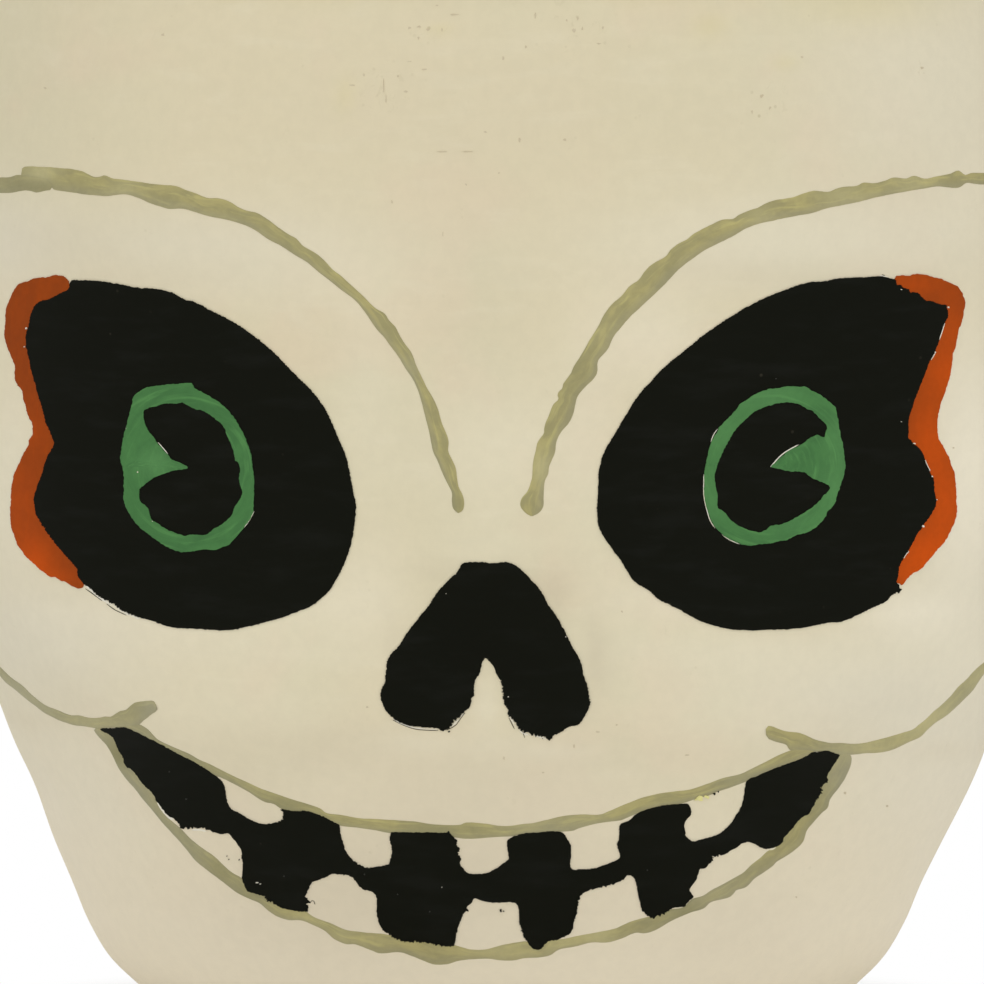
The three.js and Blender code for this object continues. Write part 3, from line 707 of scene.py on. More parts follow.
def seenOnFace(px, py):  # where the line of sight through a pixel meets the face shell, and its normal there
    place, normal, face, distance = faceTree.ray_cast(eye, sight(px, py))
    if place is None:
        raise ValueError(f"pixel {px:.0f},{py:.0f} misses the face shell")
    return onCurve(place, face)


def nearestOnFace(point):
    place, normal, face, distance = faceTree.find_nearest(point)
    return onCurve(place, face)


finishPiece("faceShell", faceMould, ["bone", "inner"], "face_shell", bowl["wall"])
finishPiece("backShell", mouldHalf(pi, *bowl["backGrid"]), ["bone", "inner"], "back_shell", bowl["wall"])
print("shells moulded")

# rim, floor and paper strips
binding = {
    "drop": 0.0098, "lift": 0.0014, "inside": 0.0064, "crown": 0.0014, "thickness": 0.0009,
    "columns": 240, "steps": 26,
    "flank": 0.32,  # the share of the paper's width that lies on each side of the rim
    "featherReach": 0.16, "feather": 0.7,  # where and how much its two edges thin out
    "wavers": [(9, 0.0005), (40, 0.0003)],  # scales and sizes of the lower edge's waver
    "swell": 0.00016, "swellAround": 22, "swellAcross": 5,
    "crownPower": 0.75, "crownDent": 0.0001,
}


def bindRim():
    bm = bmesh.new()
    bmesh.ops.create_grid(bm, x_segments=binding["columns"], y_segments=binding["steps"], size=1)
    outer = binding["lift"]
    across = (outer + binding["inside"]) / 2
    flank = binding["flank"]
    for vert in bm.verts:
        turn = vert.co.x * pi
        q = (vert.co.y + 1) / 2
        around = Vector((cos(turn), sin(turn), 0))
        low = shellHeight - binding["drop"]
        low += sum(size * noise.noise(around * scale) for scale, size in binding["wavers"])
        uneven = noise.noise(around * binding["swellAround"] + Vector((0, 0, q * binding["swellAcross"])))
        swell = binding["swell"] * uneven
        if q < flank or q > 1 - flank:
            share = min(q, 1 - q) / flank
            z = low + (shellHeight - low) * share
            feather = 1 - (1 - smoothstep(0, binding["featherReach"], share)) * binding["feather"]
            inside = bowl["wall"] + (binding["inside"] - bowl["wall"]) * feather
            lift = outer * feather if q < 0.5 else -inside
            point = shellPoint(turn, rowAtHeight(z), lift + swell)
            point.z = z
        else:
            angle = (q - flank) / (1 - 2 * flank) * pi
            point = shellPoint(turn, lastRow, outer - across + across * cos(angle))
            point.z += binding["crown"] * max(sin(angle), 0) ** binding["crownPower"]
            point.z -= binding["crownDent"] * abs(uneven)
        vert.co = point
    bmesh.ops.remove_doubles(bm, verts=bm.verts[:], dist=nearly)
    bmesh.ops.recalc_face_normals(bm, faces=bm.faces[:])
    return bm


finishPiece("rimBinding", bindRim(), ["binding"], "rim_binding", binding["thickness"])

board = {
    "gap": 0.002, "low": 0.0053, "thickness": 0.0025, "rings": 20, "sectors": 96,
    "dish": 0.00018, "dishScale": 45,
    "edgeDrop": 0.0004, "dropSpan": (0.93, 1),
    "edgeSpan": (0.9, 1),  # shares of the radius between which the worn edge starts
    "clearance": 0.0001,
}


def cutFloor():
    bm = bmesh.new()
    edge = bm.verts.layers.float.new("edge")
    line = [bm.verts.new((share / board["rings"], 0, 0)) for share in range(board["rings"] + 1)]
    spokes = [bm.edges.new(pair) for pair in zip(line, line[1:])]
    bmesh.ops.spin(bm, geom=line + spokes, cent=(0, 0, 0), axis=(0, 0, 1), angle=2 * pi,
                   steps=board["sectors"], use_merge=True)
    bmesh.ops.remove_doubles(bm, verts=bm.verts[:], dist=nearly)
    bmesh.ops.recalc_face_normals(bm, faces=bm.faces[:])
    if sum(face.normal.z for face in bm.faces) < 0:
        bmesh.ops.reverse_faces(bm, faces=bm.faces[:])
    side, front, back = profileAt(0)[1:]
    for vert in bm.verts:
        share = hypot(vert.co.x, vert.co.y)
        depth = front if vert.co.y < 0 else back
        x = vert.co.x * (side - board["gap"])
        y = vert.co.y * (depth - board["gap"])
        dish = board["dish"] * noise.noise(Vector((x, y, 0)) * board["dishScale"])
        dish -= board["edgeDrop"] * smoothstep(*board["dropSpan"], share)
        vert.co = Vector((x, y, board["low"] + board["thickness"] + dish))
        vert[edge] = smoothstep(*board["edgeSpan"], share)
    return bm


finishPiece("floorDisc", cutFloor(), ["board"], "floor_disc", board["thickness"] - board["clearance"])

strip = {
    "width": 0.024, "thickness": 0.0008, "gap": 0.0004, "firstRow": 3.7, "top": 0.2363, "wall": 0.0004,
    "columns": 12, "rows": 150,
    "torn": 0.0009, "tornScale": 26,
    "feather": 0.22, "edgeShare": 0.35,  # how far in the paper thins out, and how much is left at its edge
    "wrinkle": 0.00012, "wrinkleAcross": 2, "wrinkleAlong": 60,
}


def pasteStrip(sign):  # the sign also keeps the two strips' patterns apart
    bm = bmesh.new()
    bmesh.ops.create_grid(bm, x_segments=strip["columns"], y_segments=strip["rows"], size=1)
    topRow = rowAtHeight(strip["top"])
    edgeShare = strip["edgeShare"]
    for vert in bm.verts:
        x = vert.co.x
        q = (vert.co.y + 1) / 2
        row = strip["firstRow"] + (topRow - strip["firstRow"]) * q
        reach = profileAt(row)[1] - bowl["wall"]
        torn = strip["torn"] * noise.noise(Vector((sign * 7 + x, 0, q * strip["tornScale"]))) * abs(x)
        turn = sign * pi / 2 - x * (strip["width"] / 2 + torn) / reach
        feather = edgeShare + (1 - edgeShare) * smoothstep(0, strip["feather"], 1 - abs(x))
        where = Vector((x * strip["wrinkleAcross"], sign * 3, q * strip["wrinkleAlong"]))
        depth = bowl["wall"] + strip["gap"] + strip["thickness"] * feather
        vert.co = shellPoint(turn, row, strip["wrinkle"] * noise.noise(where) - depth)
    return bm


for sign, side in ((-1, "Left"), (1, "Right")):
    finishPiece("seamStrip" + side, pasteStrip(sign), ["strip"], "seam_strip_" + side.lower(), strip["wall"])
print("rim, floor and strips pasted")

# the painted face: outlines are pixels of the picture, and so are the film's lengths but its thickness
pixel = bowl["width"] / view["bowlPixels"]  # in metres on the face, nearly
film = {
    "cell": 9, "spacing": 0.75, "thickness": 0.0002, "tooth": 0.45, "bristle": 0.65,
    "wavers": [(9, 1), (3.5, 0.6), (1.7, 0.5)],  # lengths and shares of an outline's waver
    "bristleLength": 1.25, "raggedGain": 2.2, "seedStep": 31,
    "cutSnap": 0.05, "merge": 0.15,
    "streakWidth": 9, "ringRadius": 60,  # what the brush's streaks are measured by
    # where split bristles left a ragged edge: a pixel, how far it reaches and how rough it is
    "ragged": [
        (192, 828, 13, 1.6), (270, 900, 8, 1.2), (305, 905, 8, 1.8), (425, 944, 24, 0.9), (458, 722, 14, 1),
        (512, 724, 14, 1.3), (537, 738, 12, 1.1), (476, 690, 10, 0.7), (504, 690, 12, 1),
        (584, 700, 14, 0.6), (110, 605, 26, 0.9), (820, 792, 13, 1.2), (660, 914, 14, 1),
        (714, 856, 6, 1.2), (280, 815, 6, 0.9), (520, 930, 12, 0.8), (560, 935, 10, 0.8), (900, 590, 6, 1),
        (388, 850, 10, 0.5), (40, 530, 16, 0.6), (602, 887, 20, 0.7), (576, 905, 10, 0.8),
        (462, 850, 10, 0.7), (296, 897, 8, 1.2), (400, 938, 16, 0.7), (355, 866, 16, 0.6)],
}
# where the coloured coats are dusty, thin and bright, or thick and dark, given as the tones above are
coatTone = {
    "dusty": [
        (120, 757, 110, 50, 0.5), (28, 690, 50, 36, 0.7), (170, 835, 60, 55, 0.5), (838, 775, 28, 40, 0.5),
        (747, 777, 36, 14, 0.45), (252, 894, 30, 18, 0.3), (950, 700, 60, 40, 0.3), (545, 826, 44, 12, 0.3),
        (700, 892, 90, 40, 0.35), (152, 706, 14, 12, 0.4), (0, 185, 30, 14, 0.3), (412, 368, 14, 14, 0.3)],
    "thin": [
        (34, 566, 20, 20, 0.8), (60, 578, 18, 10, 0.4), (14, 500, 26, 40, 0.3), (947, 372, 24, 28, 0.7),
        (948, 332, 20, 20, 0.35), (930, 440, 24, 40, 0.75), (946, 505, 22, 40, 0.8),
        (924, 556, 32, 28, 0.95), (903, 577, 18, 14, 0.4), (914, 284, 30, 14, 0.42),
        (954, 304, 18, 24, 0.2), (30, 540, 24, 18, 0.22), (28, 430, 18, 26, 0.18), (800, 522, 40, 18, 0.3),
        (42, 172, 16, 10, 0.7), (126, 187, 18, 10, 0.35), (912, 183, 26, 12, 0.4), (843, 196, 26, 12, 0.4),
        (760, 216, 18, 10, 0.3), (541, 468, 10, 18, 0.6), (343, 935, 12, 10, 0.3), (600, 937, 18, 12, 0.55),
        (604, 334, 20, 20, 0.15), (30, 695, 45, 35, 0.25), (95, 722, 30, 12, 0.35), (980, 674, 20, 20, 0.5),
        (930, 720, 40, 30, 0.7), (870, 748, 36, 14, 0.45), (311, 919, 24, 12, 0.35),
        (372, 941, 30, 12, 0.2), (501, 952, 45, 12, 0.5), (564, 943, 26, 12, 0.4), (592, 819, 24, 10, 0.2),
        (765, 395, 45, 20, 0.45), (838, 440, 14, 26, 0.4), (835, 490, 16, 24, 0.5), (155, 462, 18, 14, 0.6),
        (720, 430, 22, 26, 0.4), (709, 500, 14, 30, 0.25)],
    "thick": [
        (12, 335, 24, 40, 0.35), (25, 184, 34, 12, 0.8), (42, 185, 12, 6, 0.5), (118, 753, 16, 16, 1),
        (251, 894, 22, 14, 0.7), (288, 804, 30, 12, 0.75), (439, 829, 30, 10, 0.75),
        (815, 805, 26, 40, 0.5), (195, 762, 50, 26, 0.45), (175, 830, 40, 40, 0.3), (660, 915, 40, 20, 0.3),
        (583, 373, 12, 12, 0.45), (686, 913, 16, 12, 0.7), (458, 504, 10, 10, 0.6), (221, 869, 12, 14, 0.6),
        (571, 391, 12, 14, 0.5), (83, 183, 12, 8, 0.4), (291, 243, 14, 12, 0.4), (741, 777, 26, 12, 0.4),
        (140, 520, 26, 34, 0.35)],
}


def curveThrough(pixels, spacing, closed):  # evenly spaced places on a smooth curve through the pixels
    places = []
    for i in range(len(pixels) if closed else len(pixels) - 1):
        a, b, c, d = neighbours(pixels, i, closed)
        steps = max(int(hypot(c[0] - b[0], c[1] - b[1]) / spacing), 1)
        for step in range(steps):
            t = step / steps
            places.append((catmull(a[0], b[0], c[0], d[0], t), catmull(a[1], b[1], c[1], d[1], t)))
    return places if closed else places + [pixels[-1]]


def raggedAt(px, py):
    total = 0
    for x, y, reach, rough in film["ragged"]:
        total += rough * exp(-((px - x) ** 2 + (py - y) ** 2) / reach ** 2)
    return total


def handPainted(places, tooth, bristle, seed):  # the small waver of a brush along an outline
    wavered = []
    for i, (x, y) in enumerate(places):
        before = places[i - 1]
        after = places[(i + 1) % len(places)]
        across = Vector((after[1] - before[1], before[0] - after[0], 0)).normalized()
        where = Vector((x, y, seed * film["seedStep"]))
        push = tooth * sum(share * noise.noise(where / length) for length, share in film["wavers"])
        rough = bristle + raggedAt(x, y) * film["raggedGain"]
        push += rough * noise.noise(where / film["bristleLength"])
        wavered.append((x + across.x * push, y + across.y * push))
    return wavered


def strokeUv(px, py, centre):  # along and across the brush's path, in metres along
    if centre is None:
        return py * pixel, px / film["streakWidth"]
    turn = atan2(py - centre[1], px - centre[0])
    away = hypot(px - centre[0], py - centre[1])
    return turn * film["ringRadius"] * pixel, away / film["streakWidth"]


def paintFilm(name, loops, lift, coat, node, seed, tooth=None, centre=None):
    edge = (film["tooth"], film["bristle"]) if tooth is None else (tooth, 0)  # its own edge is a smoother one
    bm = bmesh.new()
    for loop in loops:
        places = handPainted(curveThrough(loop, film["spacing"], True), *edge, seed)
        ring = bmesh.ops.create_circle(bm, segments=len(places), radius=1)["verts"]
        for vert, (px, py) in zip(ring, places):
            vert.co = Vector((px, py, 0))
    bmesh.ops.triangle_fill(bm, use_beauty=True, use_dissolve=False, edges=bm.edges[:])
    # cut into cells, so that the film can bend with the face
    for normal in (Vector((1, 0, 0)), Vector((0, 1, 0))):
        values = [vert.co.dot(normal) for vert in bm.verts]
        cut = min(values) + film["cell"] / 2
        while cut < max(values):
            bmesh.ops.bisect_plane(bm, geom=bm.verts[:] + bm.edges[:] + bm.faces[:], dist=film["cutSnap"],
                                   plane_co=normal * cut, plane_no=normal)
            cut += film["cell"]
    bmesh.ops.remove_doubles(bm, verts=bm.verts[:], dist=film["merge"])
    bmesh.ops.recalc_face_normals(bm, faces=bm.faces[:])
    if sum(face.normal.z for face in bm.faces) > 0:
        bmesh.ops.reverse_faces(bm, faces=bm.faces[:])
    run = bm.loops.layers.uv.new("stroke")
    for face in bm.faces:
        for corner in face.loops:
            corner[run].uv = strokeUv(corner.vert.co.x, corner.vert.co.y, centre)
    layers = {key: bm.verts.layers.float.new(key) for key in coatTone}
    for vert in bm.verts:
        for key, layer in layers.items():
            vert[layer] = toneAt(coatTone[key], vert.co.x, vert.co.y)
        place, normal = seenOnFace(vert.co.x, vert.co.y)
        vert.co = place + normal * lift
    finishPiece(name, bm, [coat], node, film["thickness"], even=False)


brush = {
    "step": 2.6, "across": 8, "edge": 0.25, "hiddenSteps": 14,
    "tip": 0.03,  # the least that is left of a stroke's width at its end
    "wavers": [(260, 0.05), (900, 0.0275)],  # scales and shares of the edges' waver
    "sideStep": 0.3, "seedStep": 1.7,  # these keep the wavers of two edges and two strokes apart
    "wallShare": 0.55,
}


def evenly(edge, count):  # places at even lengths along a stroke's edge
    places = curveThrough(edge, 1, False)
    lengths = [0]
    for before, after in zip(places, places[1:]):
        lengths.append(lengths[-1] + hypot(after[0] - before[0], after[1] - before[1]))
    spread = []
    i = 0
    for k in range(count + 1):
        wanted = lengths[-1] * k / count
        while i < len(lengths) - 2 and lengths[i + 1] < wanted:
            i += 1
        share = (wanted - lengths[i]) / (lengths[i + 1] - lengths[i])
        spread.append(tuple(places[i][n] + (places[i + 1][n] - places[i][n]) * share for n in (0, 1)))
    return spread


def sidesOf(spots, half):  # the two edges of a fine line, from its middle
    over, under = [], []
    for i in range(len(spots)):
        before, (px, py), after = neighbours(spots, i)[:3]
        aside = Vector((before[1] - after[1], after[0] - before[0])).normalized() * half
        over.append((px - aside.x, py - aside.y))
        under.append((px + aside.x, py + aside.y))
    return over, under


def hiddenEdge(degrees, height):  # a place past the picture's edge, from its turn and height
    return nearestOnFace(shellPoint(radians(degrees), rowAtHeight(height * bowl["height"]), 0))[0]


def strokePairs(over, under, hidden):  # pairs of places on the two edges of a stroke, all along it
    count = int(len(curveThrough(over, 1, False)) / brush["step"])
    seen = [(seenOnFace(*a)[0], seenOnFace(*b)[0]) for a, b in zip(evenly(over, count), evenly(under, count))]
    turned = [(hiddenEdge(*edges[:2]), hiddenEdge(*edges[2:])) for edges in hidden]
    leadIn = turned + seen[:2]
    pairs = []
    for i in range(len(turned)):
        a, b, c, d = neighbours(leadIn, i)
        for step in range(brush["hiddenSteps"]):
            t = step / brush["hiddenSteps"]
            pairs.append(tuple(catmull(a[n], b[n], c[n], d[n], t) for n in (0, 1)))
    return pairs + seen


def strokeStations(pairs, blunt):  # middles, halves across and lengths so far, with both ends rounded off
    lengths = [0]
    for before, after in zip(pairs, pairs[1:]):
        lengths.append(lengths[-1] + ((after[0] + after[1]) / 2 - (before[0] + before[1]) / 2).length)
    stations = []
    for (a, b), distance in zip(pairs, lengths):
        half = (a - b) / 2
        for endDistance, power in ((distance, blunt[0]), (lengths[-1] - distance, blunt[1])):
            if endDistance < half.length:
                half *= max(1 - (1 - endDistance / half.length) ** power, brush["tip"]) ** (1 / power)
        stations.append(((a + b) / 2, half, distance))
    return stations


# a stroke between two edges in pixels, with its hidden start, and a power for how blunt each end is
def brushLine(name, over, under, hidden, lift, coat, node, seed, blunt=(2, 2)):
    stations = strokeStations(strokePairs(over, under, hidden), blunt)
    bm = bmesh.new()
    bmesh.ops.create_grid(bm, x_segments=len(stations) - 1, y_segments=brush["across"], size=1)
    run = bm.loops.layers.uv.new("stroke")
    layers = {key: bm.verts.layers.float.new(key) for key in coatTone}
    for vert in bm.verts:
        middle, half, distance = stations[round((vert.co.x + 1) / 2 * (len(stations) - 1))]
        t = vert.co.y
        for corner in vert.link_loops:
            corner[run].uv = (distance + seed, t)
        side = brush["sideStep"] if t > 0 else -brush["sideStep"]
        where = Vector((distance, side, seed * brush["seedStep"]))
        wide = 1 + sum(share * noise.noise(where * scale) for scale, share in brush["wavers"])
        place, normal = nearestOnFace(middle + half * t * wide)
        for key, layer in layers.items():
            vert[layer] = toneAt(coatTone[key], *pixelOf(place))
        vert.co = place + normal * lift * (brush["edge"] + (1 - brush["edge"]) * sqrt(max(1 - t * t, 0)))
    bmesh.ops.recalc_face_normals(bm, faces=bm.faces[:])
    if bm.faces[0].normal.dot(nearestOnFace(stations[0][0])[1]) < 0:
        bmesh.ops.reverse_faces(bm, faces=bm.faces[:])
    finishPiece(name, bm, [coat], node, lift * brush["wallShare"], even=False)


leftEye = {
    "centre": (190, 467),
    "black": [
        (74.8, 279.9), (90, 280.6), (100, 281), (109.1, 282.5), (119.1, 284.1), (128.3, 286), (133.6, 287),
        (139, 287.5), (142, 288.7), (145.1, 287.9), (155, 288.5), (160.4, 289.8), (166.5, 291),
        (172.6, 292.5), (176.5, 294.8), (181.8, 297.8), (186.4, 300.1), (191.8, 300.9), (197.1, 303.2),
        (204.8, 307), (210, 310), (240, 326), (270, 349), (300, 379), (320, 401), (335, 430), (347, 460),
        (353, 490), (356, 510), (352, 540), (345, 562), (333, 585), (320, 600), (300, 611), (270, 621),
        (245, 627), (230, 630), (200, 629), (172, 627), (152, 620.5), (140, 617.4), (130.4, 613.6),
        (123.3, 610.3), (116, 605.4), (106.4, 599.4), (99.7, 596.2), (95.4, 592), (91.1, 588.8),
        (86.7, 585), (84.6, 583.4), (81.3, 579.6), (79.1, 576.4), (78.1, 572), (77.5, 568.8), (74.8, 565),
        (71, 560.6), (63.4, 552.5), (55.8, 543.3), (48.8, 534.1), (42.8, 524.3), (37.9, 515.7),
        (35.6, 511.3), (35.2, 505.9), (34.7, 500.5), (34.9, 495.1), (36.9, 489.6), (40.1, 479.9),
        (43.4, 471.2), (44.7, 466.3), (48.2, 456), (50.4, 452.2), (53.1, 447.3), (55, 443), (53.7, 438.7),
        (50.4, 430.6), (48.3, 426.6), (46.1, 421.2), (43.4, 409.8), (40.7, 400.6), (38.8, 395.7),
        (36.3, 384.8), (34.5, 380), (32, 369.1), (29.8, 359.4), (27.3, 348), (26.4, 337.1), (27.1, 332.8),
        (28.4, 329), (29.3, 324.7), (31.2, 316), (33.8, 308.9), (35.2, 306), (37.4, 303.5), (40.1, 301.7),
        (43.4, 300.2), (46.6, 299.7), (49.3, 298.8), (55.3, 296.2), (58.6, 294.6), (61.8, 292.7),
        (65, 290.7), (68.3, 289.4), (70, 286.2), (70.5, 282.9), (72.1, 281)],
    "orange": [
        (70.3, 284.5), (69.4, 281.3), (67.2, 278.6), (64.5, 276.4), (60.7, 275.5), (55.3, 275.1),
        (52, 275.6), (48.8, 276.7), (45.6, 277.7), (41.2, 277.5), (36.3, 277.6), (33.6, 278.2),
        (31.5, 279.3), (29.3, 280.7), (26, 281.5), (23.3, 282.4), (20, 284), (17.4, 286), (15.2, 288.9),
        (11.4, 295.9), (8.1, 304.6), (7, 309.5), (6.3, 316), (6, 322.5), (5.1, 330), (5, 336.6),
        (6.5, 342.5), (8.1, 348), (11.9, 356.6), (14.1, 361.5), (15.2, 366.4), (15.2, 374.5), (16, 380),
        (17.4, 383.8), (19.5, 387), (21.7, 389.7), (23.1, 393.5), (24.9, 402.7), (28.2, 413.6),
        (29.8, 418.5), (32, 422.3), (33.1, 426.6), (33.1, 434.3), (31.4, 437), (29.5, 439.8), (29.1, 443.6),
        (28, 446.8), (23.3, 454.9), (19.5, 463.6), (17.3, 467.4), (15.7, 471.2), (13.2, 481), (11.4, 492.9),
        (10.8, 505.9), (11.1, 520), (11.7, 526), (13, 530.8), (16.3, 539.5), (17.9, 543.8), (23.9, 552.5),
        (31.4, 560.6), (41.7, 570.4), (49.3, 575.5), (52.6, 576.9), (56.4, 577.4), (59.1, 579.4),
        (61.8, 580.5), (65, 581), (68.3, 583.1), (71, 585.3), (74.3, 587), (77.5, 588), (80.8, 588.5),
        (83.3, 587.2), (84.6, 584), (88, 578), (70, 545), (50, 515), (58, 470), (66, 443), (56, 410),
        (46, 360), (40, 320), (58, 304), (78, 292)],
    "ring": [
        (191.8, 383), (182.7, 383.3), (170.6, 384), (159.7, 385.2), (151.8, 385.8), (145.2, 388.2),
        (139, 391.8), (133.6, 397.3), (133, 404), (130, 416), (126.4, 428.2), (124.5, 438), (122, 448.8),
        (121.5, 459.7), (124, 469.4), (124.5, 479), (124.5, 491.2), (125.2, 501), (128.2, 510.6),
        (135.5, 521.5), (144, 530), (152.4, 536.7), (162, 543.3), (173, 548.8), (181.5, 551.4),
        (192.4, 551.2), (204.5, 549.6), (216.7, 549.4), (225.2, 546.4), (230, 544.5), (237.3, 536),
        (244.5, 527), (250.6, 518), (254.5, 510.6), (254.2, 498.5), (254.8, 486.4), (254.2, 475.5),
        (252.4, 464.5), (251.2, 454.8), (248.2, 445.2), (244.5, 434.2), (238.5, 423.3), (231.2, 412.4),
        (222.7, 404.5), (214.2, 398.5), (205.8, 393), (197.3, 388.8)],
    "hole": [
        (145.2, 410), (152.4, 406.4), (161, 404.5), (168.2, 402.7), (176.7, 403), (183.3, 402.7),
        (190, 405.8), (197.3, 409), (204.5, 410), (210.6, 414.2), (216.7, 418.5), (222.7, 424.5),
        (226.4, 431.8), (230, 439), (233, 447.6), (234.8, 454.8), (236, 460.3), (239, 462), (241, 469.4),
        (239.7, 478), (241, 486.4), (242.7, 491.2), (241, 498.5), (236, 505.8), (232.4, 514.2),
        (226.4, 521.5), (219, 526.4), (211.8, 530.6), (205.8, 534.8), (197.3, 534.2), (190, 534.2),
        (185.2, 535), (178, 533), (170.6, 530.6), (163.3, 527), (158.5, 523.3), (153, 520.3),
        (151.2, 515.5), (147.6, 507), (141.5, 501), (140.3, 494.8), (140.3, 488.2), (145.2, 484.5),
        (152.4, 479), (161, 474.8), (170.6, 471.2), (179, 469.4), (186, 468.8), (188.4, 467), (184, 464),
        (178, 461.5), (171.8, 458.5), (167.6, 453.6), (162, 447.6), (157.3, 441.5), (152.4, 434.2),
        (147, 426.4), (145.2, 421), (144.5, 415)],
}
rightEye = {
    "centre": (774, 465),
    "black": [
        (895, 280), (890, 278.4), (880, 276), (865, 277), (840, 278), (825, 281), (805, 283), (785, 290),
        (760, 300), (735, 314), (710, 330), (690, 346), (670, 362), (650, 382), (635, 400), (624, 418),
        (612, 438), (604, 452), (599, 470), (598, 490), (597, 515), (600, 530), (610, 546), (622, 562),
        (633, 580), (648, 590), (660, 600), (680, 610), (700, 621), (720, 627), (740, 630), (760, 630),
        (800, 628), (825, 623), (843, 621), (865, 611), (880, 604), (886.9, 600), (889.2, 596.8),
        (892.6, 594.5), (897.2, 592.8), (900.7, 591), (898.9, 587), (898.4, 584.2), (896.1, 581.9),
        (897.2, 576.1), (898.1, 570.4), (898.9, 565.8), (903, 557.8), (905.3, 553.7), (907.6, 550.9),
        (912.1, 542.3), (916.7, 533.6), (919.6, 529.6), (922.5, 525), (928.2, 517), (933.4, 509),
        (935.1, 505), (935.7, 500.4), (935.1, 496.9), (934, 491.2), (933.4, 485.4), (932.8, 478.5),
        (930.5, 475.1), (928.8, 470.5), (927.1, 465.9), (925.3, 463), (924.2, 459), (922.5, 454.4),
        (919, 448.7), (916.2, 445.5), (913.3, 444.1), (911, 440.7), (908.7, 438.9), (907.3, 437.2),
        (907.8, 431.5), (908.1, 420), (910, 412), (913, 403), (916, 395), (925, 372), (929.7, 360),
        (932.4, 355.5), (935, 349.5), (937.4, 343.6), (939, 338.2), (941.7, 329.6), (943.7, 323.7),
        (947, 317.7), (947.6, 311.7), (946.3, 308.4), (945.6, 305.1), (942.3, 304.4), (936.4, 303.1),
        (932.4, 300.8), (925.8, 300.5), (922.4, 298.1), (919.8, 295.1), (915.8, 292.5), (909.5, 292.2),
        (907.9, 289.2), (902.9, 287.2), (899.9, 284.9), (895.9, 284.5)],
    "orange": [
        (895.6, 277.9), (897.9, 275.9), (903.2, 275.1), (909.2, 275.6), (913.2, 274.5), (919.8, 273.9),
        (926.4, 275.1), (939.7, 278.9), (946.3, 281.6), (951.6, 283.3), (956.3, 285.5), (959.6, 289.2),
        (962.2, 293.8), (964.2, 299.8), (964.5, 305.8), (963.6, 311.7), (960.6, 323.7), (958.6, 327.6),
        (957.6, 332.3), (956.3, 339.6), (954.9, 346.2), (952.6, 352.8), (951.6, 359.5), (950.6, 370),
        (946, 388), (941, 402), (938.4, 412), (937.4, 420), (937.1, 426.9), (937.2, 433.8), (938, 438.4),
        (942.6, 446.4), (948.9, 457.9), (950.3, 462.5), (953.5, 472.8), (954.8, 478.5), (955.8, 490),
        (955.9, 503.8), (956.2, 510.7), (955.8, 516.4), (954.4, 521.6), (949.5, 531.9), (947.2, 537.1),
        (944.3, 541.1), (937.4, 549.1), (931.7, 556), (924.8, 564.1), (919.6, 569.6), (912.1, 573.8),
        (908.7, 576.4), (905.8, 579.3), (901.8, 584.2), (898.9, 583.6), (893, 580), (893, 556), (912, 520),
        (920, 498), (912, 462), (896, 438), (902, 396), (922, 345), (928, 312), (908, 300), (890, 290)],
    "ring": [
        (806, 387), (798, 386.2), (788.7, 386), (779.5, 387), (769.2, 388.2), (760, 391), (752, 395),
        (745, 400.3), (738.2, 405.4), (732.5, 412.3), (725.6, 420.3), (718.7, 427.8), (713.5, 434.7),
        (710.7, 441.6), (708.4, 449.6), (706, 460), (703.5, 471.4), (703.8, 480.6), (703.5, 491),
        (705, 501.3), (707.2, 510.4), (710, 519.6), (714.7, 527), (721, 533.4), (729, 539), (739.4, 543.2),
        (749.7, 545), (759, 544.3), (769.2, 543.2), (779.5, 541), (788.7, 538.6), (796.7, 534.5),
        (804.8, 532.3), (814, 527.7), (822, 520.8), (827.7, 510.4), (833.5, 503.6), (837, 494.4),
        (840.4, 484), (843.2, 473.7), (844.4, 464.5), (843.8, 454.2), (842, 444), (839.8, 432.4),
        (837.5, 421), (835.8, 410.6), (833, 404.8), (826.6, 399.7), (818.6, 394), (810.5, 389.3)],
    "hole": [
        (781.8, 402.3), (791, 402), (799, 404.3), (806, 407.7), (812.8, 411.7), (818.6, 417), (823.2, 422),
        (826, 426.7), (825, 432.4), (823.7, 436.6), (819.7, 435.3), (816.3, 434), (811.7, 436.4),
        (804.8, 441.6), (798, 445), (791, 449), (784, 453), (778.4, 458.2), (775, 462.8), (770.6, 466.4),
        (777.2, 467.6), (784, 470.3), (791, 471.2), (799, 471.4), (806, 473.7), (811.7, 478.3),
        (819.7, 481.2), (825.4, 484), (828.9, 487.5), (826.6, 492), (822, 496.7), (816.3, 502.4),
        (810.5, 507.6), (803.6, 512.2), (795.6, 517.3), (786.4, 522), (779.5, 524.2), (771.5, 525.4),
        (765.8, 528.8), (760, 531.7), (754.3, 531), (747.4, 530), (740.5, 527), (733.6, 522.5),
        (728, 516.8), (722, 510.4), (717, 507), (717, 497.8), (715.8, 487.5), (714, 478.3), (714.7, 471.4),
        (718, 461), (723.3, 450.8), (726.7, 441.6), (732.5, 432.4), (739.4, 424.4), (748.5, 415.7),
        (759, 409.4), (770.3, 404.8)],
}
eyeCoats = {  # in the order in which they were painted
    "Orange": {"outlines": ["orange"], "paint": "orange", "lift": 0.00018, "tooth": 0.8},
    "Black": {"outlines": ["black"], "paint": "black", "lift": 0.00026, "tooth": None},
    "Ring": {"outlines": ["ring", "hole"], "paint": "green", "lift": 0.00042, "tooth": 0.9},
}
for side, marks, seed in (("left", leftEye, 1), ("right", rightEye, 2)):
    for name, coat in eyeCoats.items():
        outlines = [marks[key] for key in coat["outlines"]]
        centre = marks["centre"] if name == "Ring" else None  # the ring was brushed round it
        paintFilm(side + "Eye" + name, outlines, coat["lift"], coat["paint"], side + "_eye_" + name.lower(),
                  seed, coat["tooth"], centre)
        seed += 2
print("eyes painted")

